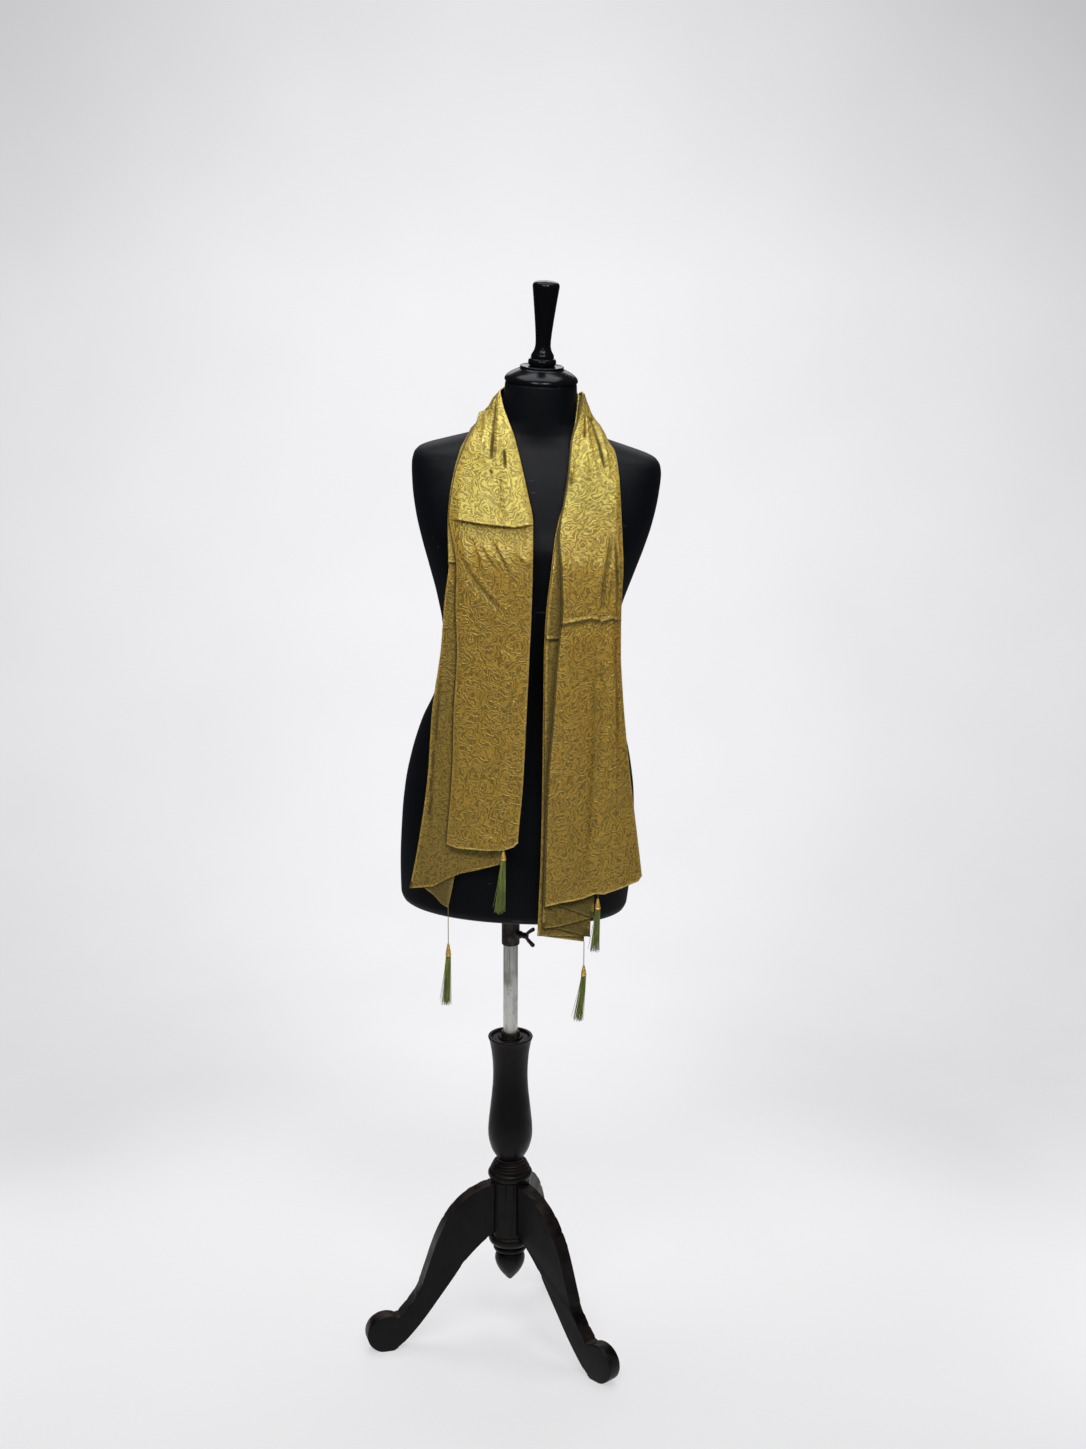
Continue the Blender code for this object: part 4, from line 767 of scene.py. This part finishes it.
def rows_along(first, last, creases):
    """Rows of the band between two of its own, and how far along the cloth each one is."""
    fine = np.linspace(first, last, 4000)
    edges = through(np.arange(len(BAND)), BAND, fine)
    middle = (edges[:, :3] + edges[:, 3:]) / 2
    length = np.concatenate([[0], np.cumsum(np.linalg.norm(np.diff(middle, axis=0), axis=1))])
    wanted = list(np.arange(0, length[-1], ROW_STEP)) + [length[-1]]
    for crease in creases:
        at = np.interp(crease[0], fine, length)
        wanted = [place for place in wanted if abs(place - at) > CLEAR_OF_CREASE]
        wanted += [at] + [at + way * step for way in (-1, 1) for step in CREASE_STEPS]
    hem = 0 if first in (0, len(BAND) - 1) else length[-1]
    wanted = [place for place in wanted if abs(place - hem) > CLEAR_OF_HEM]
    wanted = np.array(sorted(wanted + [abs(hem - step) for step in HEM_STEPS]))
    return np.interp(wanted, length, fine), wanted


def laid(half, rows, places, face, to_fold):
    """The band laid row by row: its points, the way off the body at each, and lengths across the cloth."""
    count = np.arange(len(BAND))
    ends = rows, np.minimum(rows + 0.05, count[-1]), np.maximum(rows - 0.05, 0)
    edges, after, before = (through(count, BAND, at) for at in ends)
    grid, offs, arcs = [], [], []
    for row, edge, travel, fold in zip(rows, edges, after - before, through(FOLDS[:, 0], FOLDS[:, 1:], rows)):
        inner, outer = edge[:3], edge[3:]
        width = np.linalg.norm(outer - inner)
        across = (outer - inner) / width
        off = np.cross(travel[:3] + travel[3:], across)
        off /= np.linalg.norm(off)
        section = folded(width, fold, half.strips)
        arcs.append(np.concatenate([[0], np.cumsum(np.linalg.norm(np.diff(section, axis=0), axis=1))]))
        share = np.clip(section[:, 0] / width, 0, 1)
        front = np.clip((section[:, 1] - section[:, 1].max() * 0.9) / PITCH, 0, 1)
        at_nape = np.clip(half.way * (row - half.nape) / NAPE_EASE, 0, 1)
        lift = np.zeros(len(places))
        for start, end, near, far, wide, high in RIDGES:
            if start < row < end:
                along = (row - start) / (end - start)
                middle = near + (far - near) * along
                near_ridge = np.exp(-(((share - middle) / wide) ** 2) * 2)
                lift += high * math.sin(math.pi * along) ** 0.7 * near_ridge
        lift *= at_nape + (1 - at_nape) * np.where(face, front, 0)
        lift += (1 - at_nape) * np.where(face, FOLD_EASE * (1 - np.exp(-to_fold * width / FOLD_EASE_WIDE)), 0)
        grid.append(inner + across * section[:, :1] + off * (section[:, 1] + lift)[:, None])
        offs.append(off)
    return np.array(grid), np.array(offs), np.array(arcs)


def from_line(x, z, line):
    """How far each place is from a line of points, and how far along the line that is, from 0 to 1."""
    nearest, along, so_far = np.full(x.shape, 1.0), np.zeros(x.shape), 0.0
    for (ax, az), (bx, bz) in zip(line, line[1:]):
        dx, dz = bx - ax, bz - az
        t = np.clip(((x - ax) * dx + (z - az) * dz) / (dx * dx + dz * dz), 0, 1)
        far = np.hypot(x - ax - t * dx, z - az - t * dz)
        along = np.where(far < nearest, so_far + t * math.hypot(dx, dz), along)
        nearest = np.minimum(nearest, far)
        so_far += math.hypot(dx, dz)
    return nearest, along / so_far


def creased(half, grid, offs, rows, places, face, free):
    """The cloth with its packing creases, wrinkles and pleats, and a slight waviness on its front."""
    lift = np.zeros(grid.shape[:2])
    for row, (lower, upper), line, out, lip, pocket, reach in half.creases:
        at = int(np.argmin(np.abs(rows - row)))
        line = np.array(line)
        for j in np.nonzero((places >= lower) & (places <= upper))[0]:
            crease_height = np.interp(grid[at, j, 0], line[:, 0], line[:, 1])
            gap = grid[:, j, 2] - grid[at, j, 2]
            grid[:, j, 2] += (crease_height - grid[at, j, 2]) * np.exp(-((gap / CREASE_PULL) ** 2)) * free
            above = grid[:, j, 2] - crease_height
            below = np.maximum(-above, 0) / reach
            across = (grid[at, j, 0] - line[0, 0]) / (line[-1, 0] - line[0, 0])
            ends = np.clip(min(across, 1.04 - across) * 9, 0, 1)
            over = np.clip((above + LIP_EDGE) / LIP_EDGE, 0, 1)
            leans = out * np.exp(-np.maximum(above, 0) / LEAN_UP)
            bend = over * (leans + lip * np.exp(-(((above - LIP_PLACE) / LIP_WIDE) ** 2)))
            bend += (1 - over) * LEAN_UNDER * out * np.exp(np.minimum(above, 0) / LEAN_DOWN)
            sunk = math.sin(math.pi * np.clip(across, 0, 1)) ** 0.6
            bend -= (1 - over) * pocket * below * np.exp(1 - below) * sunk
            lift[:, j] += bend * free * ends
    for strip, marks in half.marks.items():
        inside = np.clip(np.minimum(places - strip, strip + 1 - places) * 12, 0, 1)
        for wide, high, *line in marks:
            far, along = from_line(grid[:, :, 0], grid[:, :, 2], line)
            near = np.exp(-((far / wide) ** 2)) * np.clip(np.minimum(along, 1 - along) * 4 + 0.1, 0, 1)
            lift += high * near * inside * free[:, None]
    x, z = grid[:, :, 0], grid[:, :, 2]
    lift += WAVE_HIGH * free[:, None] * np.where(face, 1, 0) * (
        np.sin(x * 95 + 1.7 * np.sin(z * 41)) * np.sin(z * 63 + x * 38)
        + 0.7 * np.sin(x * 210 + 2.1 * np.sin(z * 87 + 1)) * np.sin(z * 133)
    )
    return grid + offs[:, None, :] * lift[:, :, None]


def in_strip(places, strip):
    """Which places across the cloth lie in a strip, its folds among them."""
    return (places >= strip) & (places <= strip + 1)


def ray_shares(points, faces, normals):
    """How shut in each point is: the share of short rays from it that meet the cloth, later painted as shade.
    """
    tree = BVHTree.FromPolygons(points.tolist(), faces.tolist())
    tilts = [(0.0, 0.0)] + [(0.75, turn) for turn in (0.3, 1.56, 2.81, 4.07, 5.33)]
    tilts += [(1.25, turn) for turn in (0.9, 1.8, 2.7, 3.6, 4.5, 5.4, 6.28)]
    shares = []
    for point, out in zip(points.tolist(), normals.tolist()):
        out = Vector(out)
        start = Vector(point) + out * RAY_START
        aside = out.orthogonal().normalized()
        third = out.cross(aside)
        hits = 0
        for tilt, turn in tilts:
            ray = out * math.cos(tilt) + (aside * math.cos(turn) + third * math.sin(turn)) * math.sin(tilt)
            if tree.ray_cast(start, ray, RAY_REACH)[0]:
                hits += 1
        shares.append(hits / len(tilts))
    return np.array(shares)


def shaded(half, painted_shading, sides, grid, places, free):
    """Deeper painted shade where a layer lies under another's hem, beside its edge, or behind it all the way
    down.
    """
    for under, above in half.under_hem:
        hem = grid[half.foot, in_strip(places, above)]
        hem = hem[np.argsort(hem[:, 0])]
        for j in np.nonzero(in_strip(places, under))[0]:
            if hem[0, 0] < grid[half.foot, j, 0] < hem[-1, 0]:
                below = np.interp(grid[:, j, 0], hem[:, 0], hem[:, 2]) - grid[:, j, 2]
                shade = HEM_SHADE * np.exp(-np.clip(below, 0, 1) / HEM_SHADE_REACH) * (below > -0.01)
                painted_shading[:, :, j] = np.maximum(painted_shading[:, :, j], shade)
    for under, edge, reach in half.beside:
        line = grid[free, int(np.argmin(np.abs(places - edge)))]
        line = line[np.argsort(line[:, 2])]
        for j in np.nonzero(in_strip(places, under))[0]:
            away = np.interp(grid[:, j, 2], line[:, 2], line[:, 0]) - grid[:, j, 0]
            shade = BESIDE_SHADE * np.exp(-((np.maximum(away, 0) / reach) ** 2)) * free
            shade *= np.clip((grid[:, j, 2] - line[0, 2]) / BESIDE_SOFT + 1, 0, 1)
            painted_shading[:, :, j] = np.maximum(painted_shading[:, :, j], shade)
    for strip, shade in half.shaded:
        inside = (places > strip) & (places < strip + 1)
        low = sides[:, :, inside, 2] < SHADED_BELOW
        painted_shading[:, :, inside] = np.maximum(painted_shading[:, :, inside], shade * low)


def fall(half):
    """Half of the stole, from its hem up one side of the form to the middle of the nape."""
    rows, lengths = rows_along(*half.rows, half.creases)
    places = cloth_places(half.strips)
    face = in_strip(places, half.face)
    free = (rows > half.free[0]) & (rows < half.free[1])
    to_fold = np.minimum(places % 1, 1 - places % 1)
    grid, offs, arcs = laid(half, rows, places, face, to_fold)

    heights = grid[:, 0, 2].copy()
    low = heights < TRIM_TOP
    climb = np.nonzero(free)[0][np.argsort(heights[free])]
    bottom = heights[low].min()
    share = (heights[low] - bottom) / (TRIM_TOP - bottom)
    whole = grid.copy()
    for j, cut in enumerate(np.interp(places, *np.transpose(half.hem))):
        wanted = cut + (TRIM_TOP - cut) * share
        for axis in range(3):
            grid[low, j, axis] = np.interp(wanted, heights[climb], whole[climb, j, axis])
    grid = creased(half, grid, offs, rows, places, face, free)

    run = np.linalg.norm(np.diff(grid, axis=0), axis=2)[::half.way]
    from_hem = np.concatenate([np.zeros((1, len(places))), np.cumsum(run, axis=0)])[::half.way]
    rolled = HALF_HEM * np.clip(1 - ((from_hem - HEM_ROUND) / HEM_ROUND) ** 2, 0.02, 1) ** 0.5
    thick = np.where(from_hem < HEM_WIDE, np.maximum(HALF_WALL, rolled), HALF_WALL)[:, :, None]
    normal = np.cross(np.gradient(grid, axis=0), np.gradient(grid, axis=1))
    normal /= np.maximum(np.linalg.norm(normal, axis=2, keepdims=True), 1e-12)
    sides = np.stack([grid + normal * thick, grid - normal * thick])

    n, m = grid.shape[:2]
    points = sides.reshape(-1, 3)
    index = np.arange(n * m).reshape(n, m)
    corners = index[:-1, :-1], index[:-1, 1:], index[1:, 1:], index[1:, :-1]
    right_side = np.stack(corners, axis=-1).reshape(-1, 4)
    rims = []
    for line, turn in ((index[0], 1), (index[-1], -1), (index[:, 0], -1), (index[:, -1], 1)):
        p, q = line[:-1], line[1:]
        rims.append(np.stack([p, p + n * m, q + n * m, q], axis=-1)[:, ::turn])
    faces = np.concatenate([right_side, right_side[:, ::-1] + n * m, *rims])
    mesh = bpy.data.meshes.new(half.name)
    mesh.from_pydata((points + np.array(POLE_AXIS.translation)).tolist(), [], faces.tolist())
    mesh.materials.append(satin)
    mesh.materials.append(satin_back)
    wrong = np.zeros(len(faces), np.int32)
    wrong[len(right_side):len(right_side) * 2] = 1
    mesh.polygons.foreach_set("material_index", wrong)
    mesh.shade_smooth()
    nape = n - 1 if half.foot == 0 else 0
    for edge in mesh.edges:
        start, end = (divmod(vertex, n * m) for vertex in edge.vertices)
        if start[0] == end[0] and start[1] // m == end[1] // m == nape:
            edge.use_edge_sharp = True

    drop = np.interp(TRIM_TOP, heights[climb], lengths[climb])
    down = half.way * np.maximum(TRIM_TOP - grid[:, :, 2], 0)
    along = np.where(low[:, None], drop - down, lengths[:, None]) + (0 if half.foot == 0 else HALF_APART)
    uv = np.stack([arcs, along], axis=-1).reshape(-1, 2)
    loops = np.array([loop.vertex_index for loop in mesh.loops]) % (n * m)
    layer = mesh.uv_layers.new(name="cloth")
    layer.data.foreach_set("uv", uv[loops].astype(np.float32).ravel())
    mesh.update()

    # Painted shade for each place, from 0 in the open to 1 between two layers, deepened under hems and beside
    # edges; below 0 it is a painted highlight on the fold edges and hems
    painted_shading = ray_shares(points, faces, np.concatenate([normal.reshape(-1, 3), -normal.reshape(-1, 3)]))
    painted_shading = painted_shading.reshape(2, n, m)
    shaded(half, painted_shading, sides, grid, places, free)
    # Painted highlights: the fold edges and hems are painted paler, where they would catch the light.
    painted_sheen = np.exp(-((to_fold * STRIP_WIDE / FOLD_SHEEN_WIDE) ** 2)) * FOLD_SHEEN
    painted_sheen = np.maximum(painted_sheen[None, :], HEM_SHEEN * np.exp(-((from_hem / HEM_SHEEN_WIDE) ** 2)))
    painted_shading -= painted_sheen * (1 - painted_shading)
    layer = mesh.attributes.new("closed_in", "FLOAT", "POINT")
    layer.data.foreach_set("value", painted_shading.astype(np.float32).ravel())
    made = linked(half.name, mesh)
    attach(made, "form")
    return made, {"inner": grid[half.foot, 0], "outer": grid[half.foot, -1]}


def jacquard(name, ground, figure, contrast):
    """Satin jacquard: fine winding lines, a few millimetres apart, which swirl in thumb-wide groups."""
    made, tree, shader = new_finish(name, IOR=2.15, Sheen_Weight=0.05, Sheen_Roughness=0.35)
    shader["Sheen Tint"].default_value = (1.0, 0.96, 0.52, 1.0)
    shader["Specular Tint"].default_value = (0.95, 1.0, 0.38, 1.0)
    where = add(tree, "UVMap", uv_map="cloth")["UV"]
    wander, drift, breaks, cloud = (
        add(tree, "TexNoise", {"Vector": where, "Scale": scale, "Detail": detail}, noise_dimensions="2D")
        for scale, detail in ((95.0, 2.0), (75.0, 1.0), (150.0, 1.0), (11.0, 3.0))
    )
    swirled = wander["Color"]
    for operation, by in (("SUBTRACT", (0.5, 0.5, 0.5)), ("MULTIPLY", (0.016, 0.016, 0.0)), ("ADD", where)):
        swirled = add(tree, "VectorMath", {0: swirled, 1: by}, operation=operation)["Vector"]
    cells = add(tree, "TexVoronoi", {"Vector": swirled, "Scale": 30.0}, voronoi_dimensions="2D")["Distance"]
    phase = maths(tree, "MULTIPLY_ADD", cells, 2 * math.pi * 5.7, 0.0)
    phase = maths(tree, "MULTIPLY_ADD", drift["Fac"], 12.0, phase)
    lines = ranged(tree, maths(tree, "SINE", phase), -0.55, 0.55)
    lines = maths(tree, "MULTIPLY", lines, ranged(tree, breaks["Fac"], 0.34, 0.46, 0.5))
    weave = add(tree, "TexWave", {"Vector": where, "Scale": 700.0, "Distortion": 0.6, "Detail": 1.0},
                bands_direction="Y")["Fac"]
    deeper = ranged(tree, cloud["Fac"], 0.35, 0.65), tuple(0.9 * part for part in ground)
    woven = layered(tree, ground, deeper, (maths(tree, "MULTIPLY", lines, contrast), figure))
    # Painted light: from the chest up the colour is painted paler and greener, and below it browner, as the
    # overhead light's sheen would fall.
    height = add(tree, "SeparateXYZ", {"Vector": add(tree, "TexCoord")["Object"]})["Z"]
    paler = ranged(tree, height, 1.345, 1.435, interpolation_type="SMOOTHSTEP")
    painted_light_tint = blend_colours(tree, paler, (0.89, 0.775, 0.65), (1.09, 1.24, 1.62))
    painted_light_tinted = blend_colours(tree, 1.0, woven, painted_light_tint, "MULTIPLY")
    # Painted shade and highlight: the cloth is painted dark brown and rougher where it is shut in, under hems
    # and beside edges, and paler gold on its fold edges and hems.
    painted_shading = add(tree, "Attribute", attribute_name="closed_in")["Fac"]
    painted_sheen = ranged(tree, painted_shading, 0.0, -0.4, 0.0, 0.5)
    dark = ranged(tree, painted_shading, 0.04, 0.55, 0.0, 0.95)
    colours = painted_light_tinted, (painted_sheen, (0.62, 0.42, 0.1)), (dark, (0.045, 0.013, 0.001))
    relief = maths(tree, "MULTIPLY_ADD", weave, 0.1, maths(tree, "SUBTRACT", 1.0, lines))
    wire(tree, shader, colours, relief=(relief, 1.0, 0.0005))
    rough = maths(tree, "MULTIPLY_ADD", dark, 0.5, ranged(tree, lines, 0.0, 1.0, 0.355, 0.5))
    tree.links.new(rough, shader["Roughness"])
    return made


satin = jacquard("olive_gold_satin", (0.43, 0.266, 0.03), (0.13, 0.062, 0.006), 0.94)
satin_back = jacquard("stole_wrong_side", (0.15, 0.085, 0.017), (0.09, 0.048, 0.009), 0.5)
stole_left, left_corners = fall(LEFT)
stole_right, right_corners = fall(RIGHT)
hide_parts("stole_left", "stole_nape")
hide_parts("stole_right")

# The tassels: a twisted string at each corner of the stole, which shows at three of them, a small gilt cap
# and a skirt of green threads. Each is made apart and sewn on by its string, and one thread has strayed.
TASSELS = {
    # name: corner, forward, cap top, cap bottom, skirt bottom, sway, spread
    "left_inner": (left_corners["inner"], 0.0015, 0.9, 0.8765, 0.7925, -0.006, 0.0085),
    "left_outer": (left_corners["outer"], 0.0, 0.73, 0.71, 0.6296, -0.004, 0.008),
    "right_inner": (right_corners["inner"], 0.0, 0.698, 0.681, 0.6065, -0.008, 0.008),
    "right_outer": (right_corners["outer"], 0.0005, 0.809, 0.792, 0.7231, -0.004, 0.008),
}
STRANDS, STRAND_RADIUS, STRING_RADIUS, CAP_RADIUS = 60, 0.00042, 0.0006, 0.0036
NEXT_TURN = 2.39996  # from one strand to the next, so that they fill a round skirt evenly
string_finish, tree, shader = new_finish("brown_string", Roughness=0.8)
twist = add(tree, "TexWave", {"Vector": add(tree, "TexCoord")["Object"], "Scale": 260.0, "Distortion": 2.0},
            bands_direction="DIAGONAL")["Fac"]
wire(tree, shader, ((0.09, 0.07, 0.035), (twist, (0.3, 0.23, 0.11))))
gilt, tree, shader = new_finish("gilt_cap", Metallic=0.55, IOR=1.6)
grain = spots(tree, 700, 4)
colours = (0.74, 0.42, 0.07), (grain, (0.95, 0.66, 0.16))
wire(tree, shader, colours, (grain, 0.3, 0.45), (grain, 0.3, 0.0003))
green, tree, shader = new_finish("green_thread", IOR=1.5, Sheen_Weight=0.2, Roughness=0.55)
shade = spots(tree, 420, 3, along=0.08)
wire(tree, shader, ((0.095, 0.125, 0.015), (shade, (0.25, 0.31, 0.05))), relief=(shade, 0.4, 0.0003))
chance = np.random.default_rng(11)
for name, (corner, forward, cap_top, cap_bottom, skirt_bottom, sway, spread) in TASSELS.items():
    place = POLE_AXIS @ Matrix.Translation((corner[0], corner[1] - forward, 0))
    string_top = corner[2] - 0.0003
    cap_top = min(cap_top, string_top)
    if string_top > cap_top:
        string = turned("tassel_string_" + name, (
            ((0, cap_top - 0.001), (STRING_RADIUS, cap_top - 0.001)),
            ((STRING_RADIUS, cap_top), (STRING_RADIUS, string_top)), ((0, string_top), (0, string_top)),
        ), string_finish, "form", place, 10)
        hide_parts("string_" + name)
    tall = cap_top - cap_bottom
    cap = turned("tassel_cap_" + name, (
        ((0, cap_bottom), (CAP_RADIUS, cap_bottom)),
        ((0.004, cap_bottom + 0.0004), (0.0045, cap_bottom + 0.08 * tall),
         (0.0044, cap_bottom + 0.14 * tall)),
        ((0.004, cap_bottom + 0.17 * tall), (0.0036, cap_bottom + 0.4 * tall),
         (0.0024, cap_bottom + 0.66 * tall)),
        ((0.0027, cap_bottom + 0.7 * tall), (0.0022, cap_bottom + 0.78 * tall), (0.0017, cap_top - 0.0006),
         (0.0012, cap_top)),
        ((0, cap_top), (0, cap_top)),
    ), gilt, "form", place, 28)
    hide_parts("cap_" + name)
    bm = bmesh.new()
    top = cap_bottom - 0.0002
    for k in range(STRANDS):
        turn = k * NEXT_TURN
        reach = math.sqrt((k + 0.5) / STRANDS)
        stray = k == STRANDS - 1
        root = CAP_RADIUS * reach
        wide = spread * reach * (0.9 + 0.2 * chance.random()) * (1.25 if stray else 1)
        length = (top - skirt_bottom) * (0.95 + 0.06 * chance.random()) * (0.92 if stray else 1)
        wave, phase = 0.0012 * chance.random(), chance.random() * 6.28
        out = Vector((math.cos(turn), math.sin(turn), 0))
        aside = Vector((-math.sin(turn), math.cos(turn), 0))
        rings = []
        for part in np.linspace(0, 1, 8):
            centre = out * float(root + (wide - root) * part**1.3)
            centre += aside * float(wave * math.sin(3.2 * part + phase) * part)
            centre += Vector((sway * part**1.2, 0, top - length * part))
            size = float(STRAND_RADIUS * (1 - 0.35 * part**4))
            rings.append([
                bm.verts.new(centre + size * Vector((math.cos(a + turn), math.sin(a + turn), 0)))
                for a in (0, math.tau / 3, 2 * math.tau / 3)
            ])
        for lower, higher in zip(rings, rings[1:]):
            for j in range(3):
                bm.faces.new((lower[j], higher[j], higher[(j + 1) % 3], lower[(j + 1) % 3]))
        bm.faces.new(rings[0])
        bm.faces.new(rings[-1])
    skirt = shape("tassel_skirt_" + name, bm, green, "form", 80, place)
    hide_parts("skirt_" + name)

# The room: a pale round floor that sweeps up into a pale wall on every side, so that each view has the
# same backdrop. Only the camera sees the wall. Soft boxes overhead, in front and behind light the stand.
# The paper glows as well as taking the lamps' light: the wall and the floor's rim glow outright, and the
# floor by the stand is mostly glow; the glow is painted darker high on the wall and at four diagonal
# bearings.
FLOOR_RADIUS, WALL_RADIUS, WALL_HEIGHT = 1.6, 2.4, 5.0
paper, tree, shader = new_finish("pale_paper", Roughness=0.9, Specular_IOR_Level=0.1)
where = add(tree, "TexCoord")["Object"]
axes = add(tree, "SeparateXYZ", {"Vector": where})
flat = add(tree, "VectorMath", {0: where, 1: (1, 1, 0)}, operation="MULTIPLY")["Vector"]
radius = add(tree, "VectorMath", {0: flat}, operation="LENGTH")["Value"]
far = ranged(tree, radius, 0.65, 1.2, interpolation_type="SMOOTHSTEP")
# Painted shade: the glow is painted darker at four diagonal bearings and high on the wall.
corner = maths(tree, "MULTIPLY", axes["X"], axes["Y"])
corner = maths(tree, "DIVIDE", corner, maths(tree, "POWER", radius, 2.0))
corner = maths(tree, "MULTIPLY", maths(tree, "POWER", corner, 2.0), far)
corner = maths(tree, "MULTIPLY", corner, ranged(tree, axes["Z"], 0.9, 2.1, 0.8, 1.35))
shade = maths(tree, "ADD", corner, ranged(tree, axes["Z"], 1.45, 2.15, 0.0, 0.14))
mottle = spots(tree, 2.6, 3, 0.3, 0.7)
shade = maths(tree, "MULTIPLY_ADD", mottle, 0.03, shade)
painted_wall_glow = blend_colours(tree, shade, (0.915, 0.912, 0.932), (0.0, 0.0, 0.0))
wire(tree, shader, ((0.86, 0.86, 0.875), (mottle, (0.88, 0.88, 0.895))))
lit = tree.nodes["Principled BSDF"].outputs["BSDF"]
glow = add(tree, "Emission", {"Color": painted_wall_glow})["Emission"]
both = add(tree, "MixShader", {0: ranged(tree, far, to_low=0.62), 1: lit, 2: glow})["Shader"]
inside = add(tree, "NewGeometry")["Backfacing"]
whole = add(tree, "MixShader", {0: inside, 1: both, 2: add(tree, "BsdfTransparent")["BSDF"]})["Shader"]
tree.links.new(whole, tree.nodes["Material Output"].inputs["Surface"])
sweep = WALL_RADIUS - FLOOR_RADIUS
bend = [
    (FLOOR_RADIUS + sweep * math.sin(a), sweep * (1 - math.cos(a))) for a in np.linspace(0, math.pi / 2, 40)
]
for name, profile in (("paper_floor", [(0, 0), (0.5, 0), (FLOOR_RADIUS, 0)]),
                      ("paper_wall", bend + [(WALL_RADIUS, WALL_HEIGHT)])):
    turns = np.linspace(0, math.tau, 129)
    points = [(r * math.cos(turn), r * math.sin(turn), z) for turn in turns for r, z in profile]
    n = len(profile)
    starts = [k * n + j for k in range(len(turns) - 1) for j in range(n - 1)]
    faces = [(at, at + 1, at + n + 1, at + n) for at in starts]
    mesh = bpy.data.meshes.new(name)
    mesh.from_pydata(points, [], faces)
    bm = bmesh.new()
    bm.from_mesh(mesh)
    bmesh.ops.remove_doubles(bm, verts=bm.verts, dist=1e-5)
    for face in bm.faces:
        middle = face.calc_center_median()
        if face.normal.dot(Vector((-middle.x, -middle.y, 1.5))) < 0:
            face.normal_flip()
    bm.to_mesh(mesh)
    bm.free()
    mesh.materials.append(paper)
    mesh.shade_smooth()
    made = linked(name, mesh)
    if name == "paper_wall":
        made.visible_diffuse = made.visible_glossy = made.visible_shadow = made.visible_transmission = False
for name, place, aim, size, watts, spread in (
    ("softbox_overhead", (0.0, 0.55, 3.9), (0, 0.1, 0.0), (2.8, 1.8), 42, 125),
    ("softbox_front", (0.0, -3.5, 2.9), (0, 0, 0.9), (2.4, 1.2), 3.0, 80),
    ("softbox_left", (-0.7, -2.1, 3.4), (0, 0, 1.38), (1.0, 0.8), 5.1, 60),
    ("softbox_right", (0.7, -2.1, 3.4), (0, 0, 1.38), (1.0, 0.8), 6.3, 60),
    ("softbox_behind", (0.0, 3.4, 2.6), (0, 0, 0.9), (2.4, 1.2), 4.0, 80),
):
    lamp = bpy.data.lights.new(name, "AREA")
    lamp.shape, lamp.size, lamp.size_y = "RECTANGLE", *size
    lamp.energy, lamp.color, lamp.spread = watts, (1.0, 0.995, 0.985), math.radians(spread)
    made = linked(name, lamp)
    made.visible_camera = False
    made.location = place
    made.rotation_mode = "QUATERNION"
    made.rotation_quaternion = (Vector(aim) - Vector(place)).to_track_quat("-Z", "Y")
world = bpy.data.worlds.new("soft_room")
world.use_nodes = True
world.node_tree.nodes["Background"].inputs["Color"].default_value = (0.93, 0.95, 1.0, 1.0)
world.node_tree.nodes["Background"].inputs["Strength"].default_value = 0.05
bpy.context.scene.world = world
